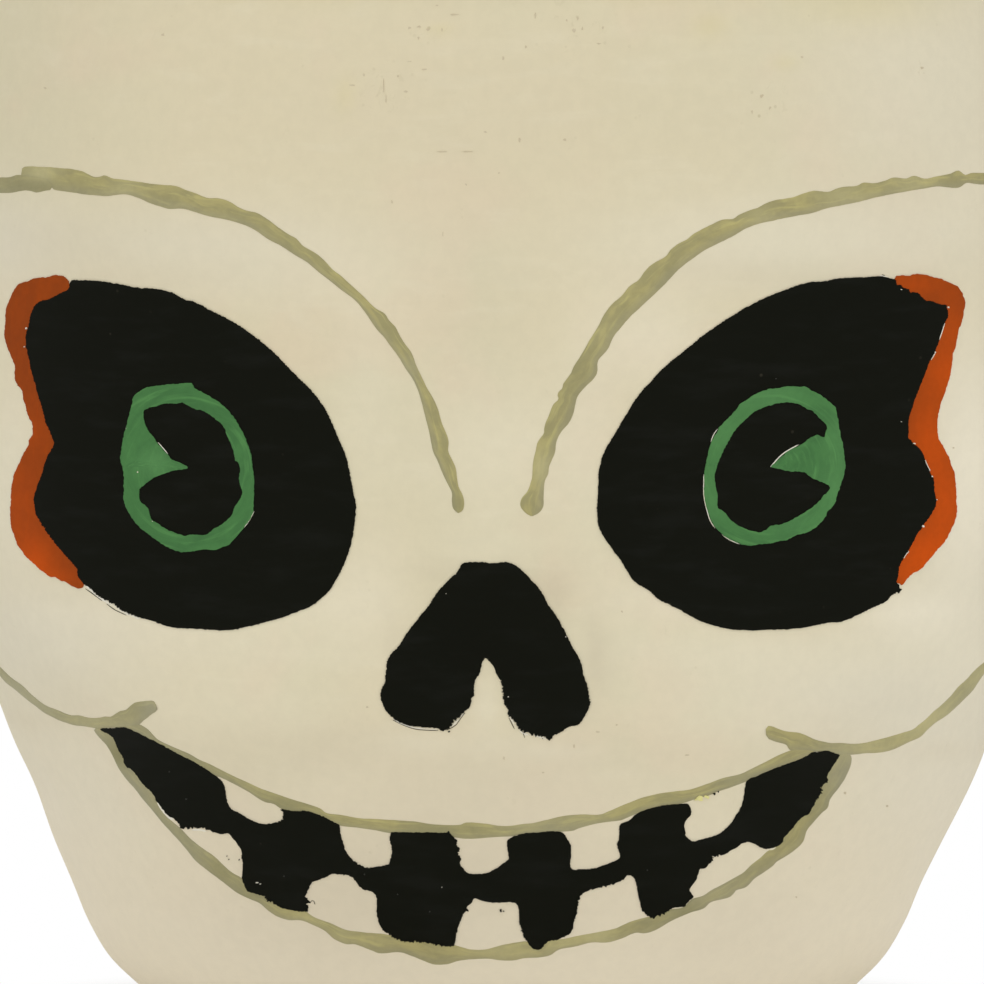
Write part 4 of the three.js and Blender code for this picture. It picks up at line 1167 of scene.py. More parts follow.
noseMark = {
    "lift": 0.00026,
    "black": [
        (462, 564), (468, 562), (475.6, 561.8), (484, 562.4), (492.4, 563), (504.7, 562.3), (515.4, 565.4),
        (523, 571.5), (530.7, 579), (538.4, 587.5), (544.5, 596), (546.2, 602), (553.7, 612),
        (561.3, 624.3), (566, 633.5), (572, 645.7), (579, 658), (582, 665.6), (583, 673.3), (586.6, 684),
        (588.4, 691), (589.2, 697.2), (590.2, 705), (587.4, 711.6), (583, 718.7), (577.3, 724.5),
        (568.7, 726.6), (560, 732.4), (553, 736), (549.3, 741), (545.8, 736.7), (537, 734.8), (530, 733.4),
        (521.4, 730.2), (516.3, 725.2), (515, 720.2), (510.6, 718), (507.7, 714.4), (508.2, 709),
        (505, 704.4), (503.4, 695.8), (502.7, 688.6), (501.3, 680), (498, 676), (493, 666), (486, 658),
        (482, 662), (480, 672), (475.4, 680), (474, 688.6), (473.3, 694.3), (471, 701.5), (469.7, 706.5),
        (465.4, 711), (459.7, 716), (454, 721), (452.5, 725.2), (446.7, 729), (443.2, 731), (438, 728),
        (432.4, 727.6), (418, 726.6), (406.6, 724.5), (396.5, 720.2), (388, 713), (383, 704.4),
        (380.7, 695.8), (381.8, 688.6), (385.2, 681), (386, 670.2), (387.6, 661), (391.4, 653.4),
        (397.5, 647.2), (405.2, 635.8), (413, 625), (422, 613.6), (429.7, 604.4), (437.4, 592),
        (445, 583.7), (453.4, 575), (456.4, 573.6)],
}
paintFilm("noseBlack", [noseMark["black"]], noseMark["lift"], "black", "nose_black", 7)

mouth = {
    "lift": 0.00022,
    "black": [
        (101.3, 728.7), (110, 728.2), (120.3, 727), (129, 728.2), (138.4, 732.2), (149.5, 738),
        (163.3, 745), (180.5, 754.6), (192.6, 760.6), (203, 766.6), (211.5, 772.7), (217.6, 777),
        (222.7, 782), (225.3, 788.2), (226.2, 795), (228, 802.8), (231.3, 808.8), (237.4, 812.3),
        (246, 817), (254.6, 821.7), (265, 824), (275.3, 822.6), (282, 820), (284, 813), (281, 809),
        (295, 811), (308, 811), (320, 815), (335, 822), (340, 826), (341, 835), (345, 848), (350, 857),
        (357, 863), (365, 867), (375, 867), (385, 865), (390, 862), (392, 848), (390, 840), (391, 834),
        (395, 832), (410, 832), (430, 832), (446, 832.4), (448.4, 830.4), (450.4, 833.6), (454, 838),
        (457, 841), (456.4, 845), (459.4, 848), (458.2, 854), (460.6, 858), (459.8, 863), (463, 868),
        (468, 873), (478, 874), (488, 872), (497, 868), (505, 862), (509, 858), (507, 845), (508, 840),
        (515, 836), (525, 833), (540, 832), (555, 831), (563, 833), (568, 840), (571, 848), (571, 868),
        (580, 869), (590, 869), (603, 866), (612, 862), (620, 857), (617, 845), (619, 838), (620, 825),
        (628, 821), (640, 812), (655, 807), (665, 805), (680, 804), (687.3, 804), (690.6, 809),
        (690.5, 814.5), (687, 818.5), (684.8, 823), (684.7, 830), (686.2, 836), (690, 840), (694.5, 841.2),
        (699.8, 839.6), (709.8, 837), (718, 834), (724.6, 829.3), (731.2, 822.7), (738, 812), (742, 803.8),
        (743.8, 795.8), (745.2, 786), (747.4, 780), (758, 775), (770, 769.6), (780.7, 765.8),
        (792.2, 761.6), (803.7, 757), (811.3, 752.6), (819.7, 751.4), (825.9, 750.1), (831.2, 751.6),
        (838.9, 754.5), (838.1, 756.6), (834.3, 762.7), (828.1, 772.7), (827, 776.5), (827.4, 779.6),
        (826.2, 782.6), (822.8, 784.9), (820.5, 791.8), (815.9, 799.5), (813.8, 804), (810.5, 809.5),
        (808, 813.5), (803, 816.5), (797.5, 820.5), (793, 826.5), (788.5, 831.5), (783.5, 837),
        (782.3, 841.5), (777, 845.6), (771.3, 847.8), (765.5, 848.6), (759.7, 846.7), (755, 843.5),
        (747.8, 841.6), (742, 843), (737, 846.8), (730, 850.3), (723.4, 854.5), (716.5, 856),
        (711.5, 855.6), (713.8, 857.4), (712.8, 860), (709, 863.4), (705.5, 867.5), (701.5, 868),
        (699, 869), (697.5, 874.5), (695, 881.2), (692.3, 884.5), (689, 889.4), (691, 893), (693, 896.5),
        (689, 900), (685.8, 904), (682.5, 906.6), (677.5, 906.8), (672, 908.4), (665.5, 912), (660, 914.5),
        (655, 917), (650.5, 917.4), (646.5, 914.4), (643, 911), (641, 907), (639, 898), (636, 885),
        (633, 877), (627, 875), (622, 880), (610, 885), (600, 887), (590, 890), (583, 893), (579, 900),
        (577, 910), (574, 920), (571, 931), (560, 938), (548, 941), (543, 947), (538, 949), (532, 947),
        (525, 938), (520, 925), (519, 912), (516, 903), (505, 902), (490, 902), (480, 900), (475, 898),
        (471, 903), (466.8, 907), (468.8, 911), (464.6, 911.6), (460, 922), (456, 935), (454, 945),
        (448, 946), (435, 944), (420, 942), (405, 941), (395, 938), (385, 931), (379, 922), (377, 910),
        (377, 898), (373, 892), (362, 888), (352, 877), (345, 874), (338, 874), (332, 874), (325.2, 877.7),
        (314, 881), (308.8, 888), (306.3, 895.8), (308.8, 901), (306.3, 905.3), (308, 908.7), (301, 911),
        (290.8, 909.6), (282, 907.8), (275.3, 903.5), (271, 901.5), (266.6, 899.2), (264, 895.8),
        (258, 894), (250.3, 891.5), (246, 888), (242.5, 877.7), (243.4, 862.2), (241.7, 856.2),
        (241.7, 850.2), (237.4, 843.3), (232.2, 836.4), (228.8, 833), (222, 833.8), (215, 832),
        (209.8, 829.8), (203, 827.8), (197, 826.6), (191.7, 828), (187.4, 827.8), (182.3, 827.8),
        (178.8, 823.5), (174.5, 818.3), (168.5, 814.8), (163.3, 808.8), (157.3, 801), (154, 794.2),
        (146, 786.4), (138.4, 777), (133.2, 769.6), (126.3, 765.8), (123, 756.3), (119.4, 750.3),
        (115, 740), (111.7, 735.6), (104.8, 731.3)],
}
paintFilm("mouthBlack", [mouth["black"]], mouth["lift"], "black", "mouth_black", 8)
print("nose and mouth painted")

# slips of white primer left bare beside the black and the rings: their middle in pixels and half their width
bare = {
    "noseLeft": ([(392, 718), (399, 722.4), (408, 726), (418, 728.2), (430, 729), (439, 729.4)], 0.5),
    "noseFold": ([(451, 727), (455.4, 722.8), (459, 718.6)], 0.8),
    "noseFoldTop": ([(460, 717.4), (464, 713.4)], 0.5),
    "noseRight": ([(509.6, 716.6), (512.4, 720.6), (514.6, 725)], 0.9),
    "noseRightLow": ([(519, 730.2), (523.6, 733.4), (528.6, 735)], 0.8),
    "noseTip": ([(534, 735.6), (540, 737), (546.4, 738.6)], 0.8),
    "eyeLeft": ([(84.5, 584), (91, 589.6), (98, 596), (107, 601.8), (116, 607), (123, 611.6), (131, 615.2),
                 (140, 618.8)], 1.2),
    "eyeRight": ([(898, 587), (899, 592)], 1.2),
    "eyeRightTop": ([(879, 275.2), (884, 276.4), (889, 277.6)], 0.6),
    "mouthLeft": ([(157, 800), (162, 809), (168.5, 816.5), (174, 820)], 1.4),
    "mouthNotch": ([(192, 830), (199, 829.6), (207, 831.4)], 0.9),
    "mouthRight": ([(785, 838.6), (778, 846.4), (770, 850)], 1),
    "ringLeft": ([(126, 431), (128.2, 424)], 0.6),
    "ringLeftFoot": ([(245, 527), (250.8, 518.4), (254.6, 511)], 0.5),
    "ringLeftWedge": ([(158.6, 442), (163.4, 447.6), (168.4, 453.6)], 0.5),
    "ringRight": ([(703.4, 474), (703.4, 482), (703.2, 491), (704.4, 501.3), (706.8, 511), (709.8, 520.4),
                   (714.4, 527.8)], 0.6),
    "ringRightTop": ([(710.4, 441.6), (713, 434.7), (717, 428.6)], 0.5),
    "ringRightFoot": ([(721.6, 534.4), (729.6, 539.8), (739, 543.8)], 0.6),
    "edgeRightTop": ([(943.9, 323), (941.6, 330.4), (938.6, 339.4)], 0.5),
    "edgeRightBend": ([(935, 351.5), (932.8, 355.5), (930.4, 359.5)], 0.5),
    "edgeRight": ([(924.3, 460), (926.5, 464.8), (929.1, 470.5)], 0.45),
    "edgeRightFoot": ([(908, 551), (905.4, 554), (903, 557.8)], 0.35),
    "ringRightWedge": ([(770, 466.6), (774, 462.2), (778, 457.6), (784, 452.4), (791, 448.2),
                        (798, 444.4)], 0.7),
}
hairs = {  # single bristles that dragged the black outside its edge
    "noseLeft": ([(393, 720), (403.7, 725.2), (415, 729), (427, 730.2), (438, 730.4)], 0.3),
    "noseFold": ([(447, 730), (455.4, 725.4), (460.4, 718.8), (465, 712.8)], 0.3),
    "noseRight": ([(509, 718), (512, 724), (514.5, 729)], 0.35),
    "noseRightLow": ([(522.5, 731), (524.6, 737.5)], 0.35),
    "noseTip": ([(541, 736), (543, 739)], 0.3),
    "mouthLow": ([(310, 903), (313, 899.6), (315, 904)], 0.16),
    "mouthRight": ([(822, 786), (818.6, 793)], 0.45),
    "eyeLeft": ([(85.8, 588.8), (94, 594.6), (102, 600.6)], 0.35),
    "eyeLeftLow": ([(107, 604), (115, 609.8), (126.3, 615.1)], 0.3),
    "eyeRightTop": ([(882, 274.6), (884.5, 275.4)], 0.3),
}
thinLift = {"bare": 0.0001, "hair": 0.00013, "ring": 0.00038}
for seed, (name, (spots, half)) in enumerate(bare.items()):
    lift = thinLift["ring" if name.startswith(("ring", "edge")) else "bare"]
    brushLine(name + "Primer", *sidesOf(spots, half), [], lift, "primer", None, seed)
for seed, (name, (spots, half)) in enumerate(hairs.items()):
    brushLine(name + "Hair", *sidesOf(spots, half), [], thinLift["hair"], "black", None, seed)

# small spots of paint: the coat, its lift in metres, and for each spot a pixel and two radii in pixels
smallSpots = {
    "blackDots": ("black", 0.0003, [
        (500.9, 910, 1.1, 1.1), (503.6, 910.8, 0.6, 0.4), (229.2, 859.1, 0.5, 0.45),
        (227.2, 855.8, 0.35, 0.35), (239.5, 859.5, 0.4, 0.5), (714, 793.6, 1.3, 0.8),
        (718, 791.4, 0.7, 0.6), (449, 731.4, 1, 0.8)]),
    "primerDots": ("primer", 0.0005, [
        (258, 881.8, 1.5, 0.24), (261, 883.2, 0.8, 0.2), (565.7, 636.4, 0.5, 0.5), (138.6, 471.8, 0.5, 0.8),
        (508.4, 696.4, 0.42, 0.42), (446.3, 593, 0.28, 0.24), (153.3, 520.9, 0.45, 0.35),
        (900.3, 289.2, 0.55, 0.35), (947.3, 307.1, 0.5, 1.1), (27.4, 327.9, 0.4, 1),
        (25.5, 346.6, 0.2, 0.5), (913.3, 443, 1.1, 0.5), (931.1, 476.3, 0.5, 0.7),
        (935.7, 499.2, 0.35, 0.5), (922.1, 525.8, 0.8, 0.9), (900.4, 421.3, 0.35, 0.45),
        (442, 886.4, 0.28, 0.42)]),
    "dustSpecks": ("dust", 0.0004, [
        (364.8, 873.5, 0.6, 0.6), (397.8, 893.6, 0.5, 0.5), (429.9, 911, 0.6, 0.6), (647, 869.5, 0.6, 0.5),
        (284.5, 875.5, 0.6, 0.5), (187, 798.5, 0.9, 0.5), (170, 771, 0.6, 0.5), (775.4, 378.2, 0.6, 0.5)]),
    "yellowChip": ("chip", 0.0003, [
        (700, 797.6, 3.6, 2.2), (706.4, 796.6, 2.4, 1.6), (696, 799.4, 1.6, 1)]),
    # marks that handling has left, most of them on the forehead
    "handlingMarks": ("mark", 0.00006, [
        (565, 139.6, 1.9, 1), (466, 184.5, 0.9, 1.1), (409.5, 28, 1.3, 1.5), (418.8, 26.8, 2, 1.1),
        (428, 29.6, 1.6, 1), (418.4, 37.9, 1, 1.2), (441.9, 29.6, 0.7, 1.6), (424.3, 69.4, 2.4, 0.8),
        (409.5, 61.6, 2, 0.5), (352, 85, 2.6, 0.7), (364, 75, 0.9, 1.3), (383.6, 84, 0.6, 6),
        (386, 100, 0.6, 4), (398, 76, 1, 1.1), (405.8, 91.5, 1.7, 0.9), (392, 201.6, 0.6, 2),
        (442.8, 234, 0.5, 2.6), (499, 173, 1, 1), (503, 58, 1, 1.9), (535.3, 15.4, 0.9, 2.4),
        (574, 30.5, 1.6, 2.4), (577.8, 18.5, 1, 1.6), (582.4, 28.7, 0.8, 1.6), (566.7, 20.3, 1, 1),
        (602.8, 27.7, 1, 1.2), (599, 43.5, 1.9, 0.8), (526, 47, 1, 1.3), (485.3, 132, 1.8, 0.8),
        (519.6, 139.6, 1, 2.4), (466.9, 151.7, 6, 0.7), (442.8, 151.7, 5, 0.6), (437, 5.5, 1.4, 0.7),
        (455, 14.6, 4, 0.7), (845, 793, 1.3, 1.1), (887, 806, 1.2, 0.8), (796, 897, 0.9, 1),
        (922, 68, 1.5, 1.2), (163, 35, 1.3, 1), (45, 88, 1.1, 1), (802, 57, 1.2, 1), (687, 755, 1.8, 0.7),
        (762, 96, 1.4, 1.8), (770, 108, 1, 1.4), (752, 112, 0.8, 1.8), (598, 732, 2.2, 0.7),
        (573.8, 746.3, 1, 1.6), (953.5, 447.8, 0.9, 0.7), (504, 758.3, 0.9, 1.4), (543, 772.5, 1.2, 0.8),
        (616.6, 724.8, 1, 0.8), (367, 707, 1.2, 0.8), (622, 611.5, 0.9, 0.9)]),
}
dabShape = {
    "corners": 11,
    "rough": 0.9, "roughScale": 1.3, "seedStep": 3.7,  # how uneven a spot's edge is
    "wallShare": 0.8,
}


def dab(name, coat, lift, spots):
    bm = bmesh.new()
    for seed, (px, py, wide, high) in enumerate(spots):
        circle = bmesh.ops.create_circle(bm, cap_ends=True, segments=dabShape["corners"], radius=1)
        for vert in circle["verts"]:
            where = Vector((vert.co.x * dabShape["roughScale"], vert.co.y * dabShape["roughScale"],
                            seed * dabShape["seedStep"]))
            push = 1 + dabShape["rough"] * noise.noise(where)
            place, normal = seenOnFace(px + vert.co.x * wide * push, py + vert.co.y * high * push)
            vert.co = place + normal * lift
    bmesh.ops.recalc_face_normals(bm, faces=bm.faces[:])
    for face in bm.faces:
        if face.normal.y > 0:
            face.normal_flip()
    finishPiece(name, bm, [coat], None, lift * dabShape["wallShare"], even=False)


for name, (coat, lift, spots) in smallSpots.items():
    dab(name, coat, lift, spots)
print("slips and marks dotted")

# each line is its two edges in pixels, and its hidden start as the turn and height of both edges
lines = {
    "leftBrow": {
        "over": [
            (22, 174), (24, 167), (42, 167), (65, 168.4), (81, 171), (88, 174), (94, 177), (100, 177),
            (105, 175.4), (113, 178.5), (126, 180), (145, 183), (160, 184.8), (175, 186), (185, 189.5),
            (196, 193.5), (208, 198), (219, 198.5), (229, 201.4), (238, 207), (246, 210.5), (257, 213),
            (267, 219), (278, 227), (288, 234), (297, 239), (303, 246), (316, 253.5), (324, 260),
            (333, 270), (340, 275), (350, 284), (363, 296), (375, 308), (384, 313), (389, 320),
            (395, 326.5), (400, 336), (406, 345.5), (412, 354), (416, 365), (422, 377.5), (427, 388),
            (433.5, 399), (438, 409.5), (441.5, 422), (446, 433), (448.6, 441), (448.3, 451), (452, 459.5),
            (455.7, 468.5), (457, 477.5), (458.6, 487), (462, 493.5), (464.3, 501), (463.4, 509),
            (459.5, 513.2)],
        "under": [
            (22, 176.5), (35, 178), (46, 180.5), (51, 186), (54.7, 189.7), (69.4, 192), (84, 194),
            (95, 195.3), (107, 196), (118, 194.7), (128, 194.7), (139, 198), (149.4, 202.7), (160, 206.3),
            (168.4, 208.8), (183, 208.8), (196, 212), (208, 216), (223, 219), (242, 224), (257, 231),
            (269.4, 240), (282, 246.3), (294.6, 254.7), (307, 262), (318, 271.5), (330.7, 281),
            (341.4, 290), (354, 299), (362, 308), (370, 319.5), (377, 329.3), (384.3, 337.3), (391.4, 347),
            (398.6, 357), (405.7, 368.6), (413, 379.3), (418, 390), (421.8, 402.5), (425.4, 416.8),
            (429, 431), (433, 450.7), (438, 461.4), (443, 474), (448.6, 485.5), (452, 492.7),
            (451.8, 500.7), (453, 508), (457, 512.6)],
        "hidden": [], "node": "left_brow_line", "lift": 0.00026, "blunt": (5, 3)},
    "leftTemple": {
        "over": [(0, 177.5), (10.5, 177.2), (16.8, 175), (27.4, 175), (40, 176.2), (52, 178)],
        "under": [(0, 193.2), (12.6, 192.6), (23, 190.5), (31.6, 191), (36.8, 192.6), (45, 191), (53, 189.6)],
        "hidden": [(-84.5, 0.622, -83.7, 0.618), (-80.8, 0.705, -79.4, 0.694), (-71.5, 0.776, -70.7, 0.761)],
        "node": "left_brow_line", "lift": 0.00018, "blunt": (2, 4)},
    "rightBrow": {
        "over": [
            (984, 173), (971, 173), (965, 175), (958, 170.5), (949.5, 174), (936, 176.5), (925, 178.7),
            (914, 175.8), (906, 178.7), (894, 177.3), (884.5, 181), (873.7, 183.3), (864, 182.5),
            (856, 186), (844, 186.8), (836, 188.7), (827.7, 192), (814, 190.8), (803.4, 193.3),
            (792.6, 197.6), (776.3, 200), (765.5, 203.5), (757.4, 208), (749.3, 210.3), (738.5, 215),
            (733, 219), (722, 219.8), (711.4, 224.6), (700.6, 230), (692.5, 234.6), (687, 239.5),
            (679, 243.3), (671, 249.5), (665.5, 256.8), (652, 264), (644, 272.5), (638.4, 280),
            (629, 286.8), (622, 295.5), (611.4, 305), (603.3, 315.8), (598, 326.6), (589.7, 340),
            (584.3, 349.6), (580.3, 356.3), (573.5, 367), (571, 373), (566, 379.7), (563, 384),
            (562.3, 388.4), (558.6, 392), (557.6, 396.5), (558.9, 399), (554, 403.7), (551.4, 408.3),
            (549, 415), (546.3, 421), (544.3, 428), (543.8, 433.3), (539.7, 439), (537, 443.5),
            (535.6, 450.6), (533.6, 460), (532.6, 468), (532.3, 475), (530.5, 483.3), (527.4, 491.4),
            (522.3, 497.6), (520.3, 502.7), (521, 508), (524.4, 512.3), (528.5, 516)],
        "under": [
            (984, 184.6), (974, 183.8), (966, 183), (957.5, 187.9), (938.6, 186.5), (922.4, 188.7),
            (903.4, 192), (884.5, 195.4), (865.6, 200), (846.6, 204.4), (827.7, 208), (811.5, 213),
            (792.6, 216.5), (776.3, 219.8), (760, 223.3), (746.6, 228), (733, 236), (716.8, 244),
            (703.3, 251), (689.8, 260.3), (676.3, 271.7), (665.5, 283.3), (652, 296.3), (638.4, 309),
            (625, 322.5), (614, 336), (607.3, 349.6), (598, 360.4), (597.5, 370), (596.3, 375),
            (591.7, 380.7), (585.6, 386.3), (581, 391.4), (577.4, 396.5), (575.4, 403.7), (573.4, 413),
            (570.3, 420), (567.2, 425), (562, 430.7), (558, 437.3), (556, 443.5), (555, 451.6), (552, 460),
            (549.4, 466), (548, 474), (544.8, 481), (543.8, 489.4), (543.3, 498.6), (543.3, 505.7),
            (540.7, 511.3), (535, 515.8)],
        "hidden": [(84.5, 0.622, 83.6, 0.618), (79.7, 0.704, 78.3, 0.696), (70.5, 0.776, 69.6, 0.765)],
        "node": "right_brow_line", "lift": 0.00022, "blunt": (2, 3)},
    "leftCheek": {
        "over": [
            (0, 666.7), (7.6, 674.3), (14, 679.7), (21.7, 685), (31.4, 694.3), (37, 699.2), (43.4, 704),
            (50, 707.3), (57.5, 710), (65, 713.3), (71.6, 715.3), (79, 715.3), (85.7, 717), (92.2, 718),
            (99.7, 717.6), (105.2, 716.6), (110.6, 716.8), (115, 713.8), (120.3, 711), (126.3, 709.8),
            (130, 706.3), (135.5, 702.5), (142, 701.4), (148.5, 700.8), (153.4, 700.8), (156, 703.5)],
        "under": [
            (0, 675.4), (5.4, 682), (13, 687.8), (21.7, 695), (29.3, 701.4), (37, 706.8), (44.5, 712.8),
            (52, 716.6), (59.6, 720.4), (67.2, 723), (74.8, 725.2), (82.4, 726), (91, 727.4), (99, 728.3),
            (108, 727.8), (117, 727.4), (126, 727.5), (134, 727), (139, 725), (143, 721), (148.5, 717),
            (152, 713.8), (158, 710.8)],
        "hidden": [(-82.7, 0.499, -83.6, 0.497), (-80.65, 0.436, -81.75, 0.432),
                   (-78.1, 0.385, -79.25, 0.379), (-74.95, 0.356, -75.55, 0.345)],
        "node": "left_cheek_line", "lift": 0.00024, "blunt": (2, 7)},
    "rightCheek": {
        "over": [
            (984, 662.4), (978.3, 667), (972.4, 672.8), (965, 681), (957.4, 687.8), (950, 696.7),
            (942.5, 704.2), (933.6, 711.6), (926, 719), (918.6, 725), (912.7, 729.5), (903.7, 732.5),
            (893.3, 735.5), (882.8, 738.5), (874, 740.7), (863.4, 743), (851.5, 743.7), (839.5, 743),
            (830.6, 743), (823, 741.5), (814.2, 739.2), (806.7, 735.5), (799.2, 732.8), (788.8, 731.8),
            (779.8, 729.5), (771, 726), (765.5, 725.8)],
        "under": [
            (984, 673.6), (978.3, 681.8), (972.4, 690.7), (963.4, 699.7), (954.5, 708.6), (944, 717),
            (935, 722.8), (927.6, 729.5), (920, 737), (909.7, 741.5), (899.2, 746.7), (888.8, 750.7),
            (876.8, 752.7), (863.4, 753.4), (851.5, 754.6), (838, 754.6), (827.6, 751.5), (818.6, 751.5),
            (806.7, 751.4), (797, 751), (789.5, 750), (785.8, 744.5), (775.4, 741.5), (766, 738)],
        "hidden": [(82.8, 0.501, 83.6, 0.499), (80.45, 0.46, 81.55, 0.456), (76.4, 0.416, 77.55, 0.408),
                   (70.6, 0.373, 71.65, 0.363)],
        "node": "right_cheek_line", "lift": 0.00024, "blunt": (2, 5)},
    "upperLip": {
        "over": [
            (131, 723), (139, 724.2), (148, 729.5), (156, 738), (163.5, 742.6), (175.7, 748), (189.5, 754),
            (198.7, 759.4), (209.4, 764), (220, 769.3), (232.4, 775.5), (247.7, 782.4), (260, 788.2),
            (273.7, 793), (289, 798.4), (304.3, 803), (319.6, 808), (326.5, 813), (340, 814.8), (358, 818),
            (376.3, 819), (396.7, 820.3), (414.8, 821.6), (430.6, 824), (446.5, 825), (460, 824.8),
            (467, 822.5), (484.4, 823.5), (496.3, 825.4), (508.3, 826), (522.6, 824), (534.6, 822.8),
            (549, 819.2), (565.7, 815.6), (582.4, 814.4), (599.2, 814.6), (611, 810.3), (628, 803.2),
            (642.2, 797.7), (659, 793.6), (675.7, 791.2), (690, 789.5), (706.8, 784), (723.5, 778),
            (740.3, 774), (752.2, 768.5), (764.2, 762.5), (778.5, 755.3), (790.5, 750.5), (800, 748),
            (808, 747)],
        "under": [
            (123, 728.6), (136, 733.6), (151, 741.6), (166.5, 749), (182, 757), (197, 766), (213, 774.6),
            (220, 777), (228, 780.8), (237, 785.4), (249.2, 792.3), (258.4, 798.4), (266, 802.2),
            (273.7, 803.8), (280, 808), (289, 811.2), (304.3, 811.4), (316.5, 814.5), (326, 820.6),
            (338, 824.4), (342.3, 826), (358, 827.7), (374, 830), (390, 833), (408, 833.2), (426, 834),
            (446.5, 834), (453.3, 836.8), (464.6, 838.6), (480, 838.3), (489, 837.4), (503.5, 836.6),
            (513, 836), (527.4, 833.6), (546.5, 832.4), (561, 831.6), (572.8, 830.7), (580, 827.8),
            (599.2, 823), (618.3, 820.6), (623, 819.4), (637.4, 813.2), (656.6, 806.8), (675.7, 804.4),
            (685.3, 802.4), (697.2, 798.4), (709.2, 795.3), (718.7, 791.2), (733, 786.4), (747.4, 781),
            (764.2, 774.4), (781, 767.6), (795.3, 761.8), (809.6, 756), (818, 755.5)],
        "hidden": [], "node": "upper_lip_line", "lift": 0.00018, "blunt": (3, 3)},
    "lowerLip": {
        "over": [
            (105, 728), (113, 733), (118.5, 740), (124, 752), (130, 764), (138, 772.5), (147.5, 783.6),
            (154.5, 794.6), (159, 806.8), (168, 817.6), (180.3, 828.3), (189.5, 837.5), (200.2, 846.6),
            (212.5, 855), (223.2, 865), (232.4, 872.7), (241.5, 878), (248, 886.6), (258.4, 892.6),
            (273.7, 901), (284.4, 906.6), (293.6, 908.4), (304, 910), (313.8, 917), (329.8, 923),
            (346, 929.8), (362, 932), (378, 933.7), (391.8, 935.4), (405.6, 938.6), (424, 940),
            (437.7, 943.4), (453.8, 945), (470, 949.3), (486, 949.3), (502, 945), (518, 942.4),
            (527.3, 941.4), (538.8, 946), (548, 939.6), (561.7, 939), (580, 935.5), (598.4, 932),
            (614.5, 928.6), (630.6, 921.7), (644.4, 917.8), (658.7, 914.6), (670, 909.6), (683, 907.3),
            (691.7, 899.3), (703, 895.7), (711.7, 890), (721.8, 885), (733.3, 878.4), (743.3, 872.7),
            (750.5, 865.5), (759, 859), (766.3, 852), (773.4, 847.8), (781, 839), (788.6, 828.4),
            (796, 818.4), (804.6, 812.4), (813.2, 802.4), (819, 789.5), (824.6, 778.6), (830.6, 765.6),
            (838, 755.4), (840, 752)],
        "under": [
            (91, 728), (98.4, 736.4), (106.8, 745.6), (113, 756.3), (119, 768.6), (126.7, 779.3),
            (136, 790), (143.6, 800), (152.8, 810.7), (162, 822), (171, 832), (180.3, 842), (188, 851.2),
            (195.6, 860.4), (206.3, 869.6), (217, 877.3), (227.8, 885.7), (237, 892.6), (249.2, 898.7),
            (260, 903.3), (269, 911), (278.3, 917), (289, 920), (301.2, 920.2), (313.8, 925.2),
            (325.3, 931), (334.4, 939), (346, 944), (355, 944.2), (369, 949.3), (380.3, 953.4),
            (398.7, 952), (412.5, 956.2), (424, 960.8), (435.4, 964.4), (447, 964.2), (458.4, 960.8),
            (474.5, 959), (488.2, 958.5), (499.7, 960.3), (513.5, 960.3), (525, 958), (538.8, 957.5),
            (550.2, 955), (559.4, 949.3), (575.5, 946.3), (591.6, 942.4), (607.6, 942.4), (621.4, 938.3),
            (635.2, 932.8), (645, 933.3), (656.6, 929.2), (673.2, 920), (689.8, 912.6), (703.8, 908.4),
            (711.3, 901.8), (727.9, 897.6), (733.7, 893.5), (736.2, 890.2), (746, 886.9), (754.4, 878.6),
            (762.7, 872.8), (772.7, 866), (776, 862), (786, 856), (794.2, 850.4), (803.3, 841.3),
            (806.7, 830.5), (814, 821.4), (821.6, 813), (827.4, 808), (829, 802.3), (829.9, 799.3),
            (832.7, 794.9), (837.3, 789.5), (842.7, 781.9), (847.3, 773.4), (850.3, 766.6), (851.9, 759.7),
            (851.5, 753)],
        "hidden": [], "node": "lower_lip_line", "lift": 0.00017, "blunt": (3, 3)},
}
for seed, (name, line) in enumerate(lines.items()):
    brushLine(name + "Line", line["over"], line["under"], line["hidden"], line["lift"], "olive", line["node"],
              seed + 1, line["blunt"])
print("lines brushed")

# a plain pale floor, soft light all round and a little more from above the viewer
studio = {
    "floorTone": 0.97, "floorRoughness": 0.9, "floorReach": 60, "clearance": 0.0001,
    "fadeSpan": (0.1, 0.152),  # distances from the middle at which the floor turns into plain white
    "skyLevel": 0.855,
    "lampAim": (0, 0, 0.12),
}
lamps = {
    "key": {"place": (0.8, -2.5, 0.1), "size": 1.6, "power": 15},
    "fill": {"place": (-1.6, -2.2, 0.08), "size": 1.8, "power": 8.5},
}


def seenRays(tree):  # one for what is looked at, straight, mirrored or through glass, and zero for the light
    rays = tree.nodes.new("ShaderNodeLightPath").outputs
    total = rays["Is Camera Ray"]
    for kind in ("Is Glossy Ray", "Is Transmission Ray"):
        adder = tree.nodes.new("ShaderNodeMath")
        tree.links.new(total, adder.inputs[0])
        tree.links.new(rays[kind], adder.inputs[1])
        total = adder.outputs["Value"]
    return total


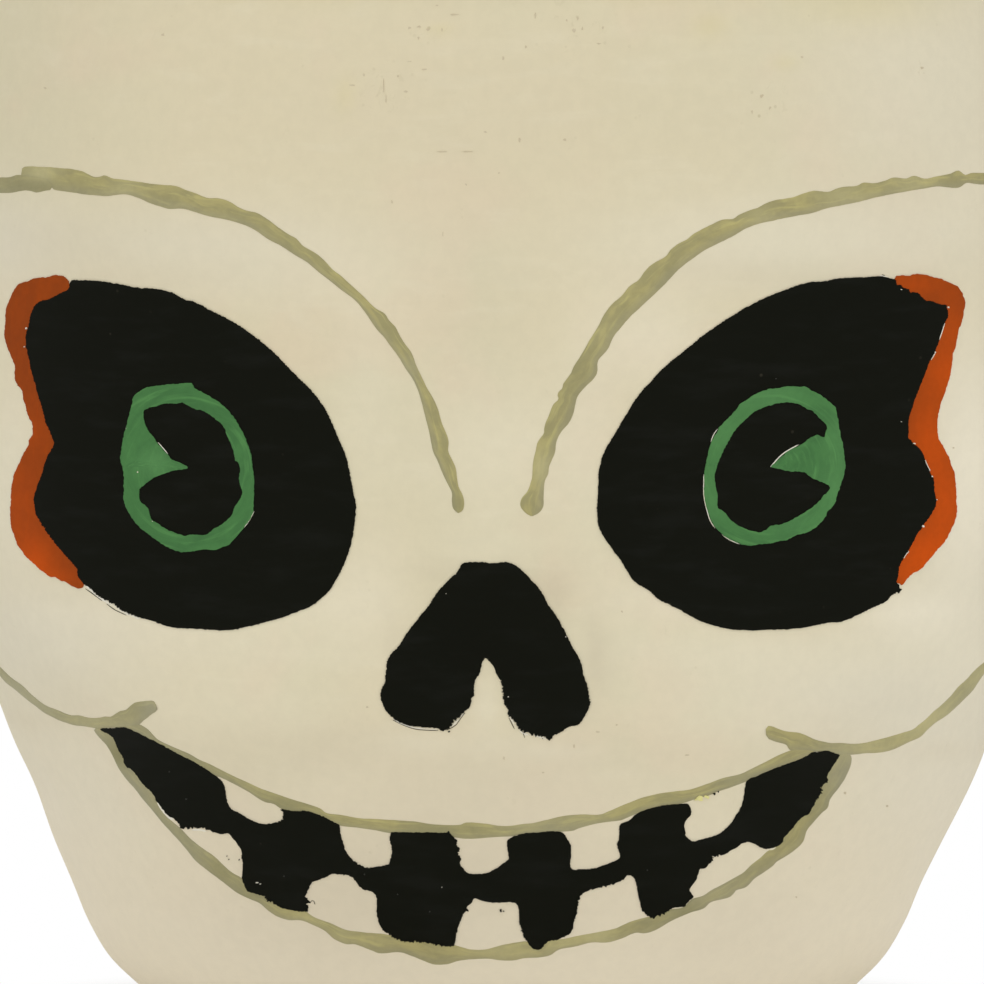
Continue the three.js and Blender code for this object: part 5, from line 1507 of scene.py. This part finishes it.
def layFloor():
    bm = bmesh.new()
    bmesh.ops.create_grid(bm, x_segments=2, y_segments=2, size=studio["floorReach"])
    for vert in bm.verts:
        vert.co.z = -studio["clearance"]
    mesh = bpy.data.meshes.new("studioFloor")
    bm.to_mesh(mesh)
    bm.free()
    ground = bpy.data.objects.new("studioFloor", mesh)
    bpy.context.scene.collection.objects.link(ground)
    s = Shader("floorPaper", studio["floorRoughness"], 0)
    level = studio["floorTone"]
    s.feed(s.surface, {"Base Color": (level, level, level, 1)})
    glow = s.add("ShaderNodeEmission").outputs["Emission"]
    away = s.add("ShaderNodeVectorMath", {0: s.place}, operation="LENGTH").outputs["Value"]
    shown = s.times(s.ramp(away, *studio["fadeSpan"]), seenRays(s.tree))
    mixer = s.add("ShaderNodeMixShader", {0: shown, 1: s.surface.outputs["BSDF"], 2: glow})
    s.feed(s.tree.nodes["Material Output"], {"Surface": mixer.outputs["Shader"]})
    mesh.materials.append(s.material)


def lightSky():
    world = bpy.data.worlds.new("studioSky")
    bpy.context.scene.world = world
    world.use_nodes = True
    tree = world.node_tree
    mixer = tree.nodes.new("ShaderNodeMixShader")
    tree.links.new(seenRays(tree), mixer.inputs[0])
    backgrounds = (tree.nodes["Background"], tree.nodes.new("ShaderNodeBackground"))
    for slot, background, strength in zip((1, 2), backgrounds, (studio["skyLevel"], 1)):
        background.inputs["Color"].default_value = (1, 1, 1, 1)
        background.inputs["Strength"].default_value = strength
        tree.links.new(background.outputs["Background"], mixer.inputs[slot])
    tree.links.new(mixer.outputs["Shader"], tree.nodes["World Output"].inputs["Surface"])


def hangLamps():
    for name, lamp in lamps.items():
        data = bpy.data.lights.new(name, "AREA")
        data.size = lamp["size"]
        data.energy = lamp["power"]
        light = bpy.data.objects.new(name, data)
        light.location = lamp["place"]
        aim = Vector(studio["lampAim"]) - light.location
        light.rotation_euler = aim.to_track_quat("-Z", "Y").to_euler()
        bpy.context.scene.collection.objects.link(light)


layFloor()
lightSky()
hangLamps()
bpy.context.scene.view_settings.view_transform = "Standard"
print("studio lit")
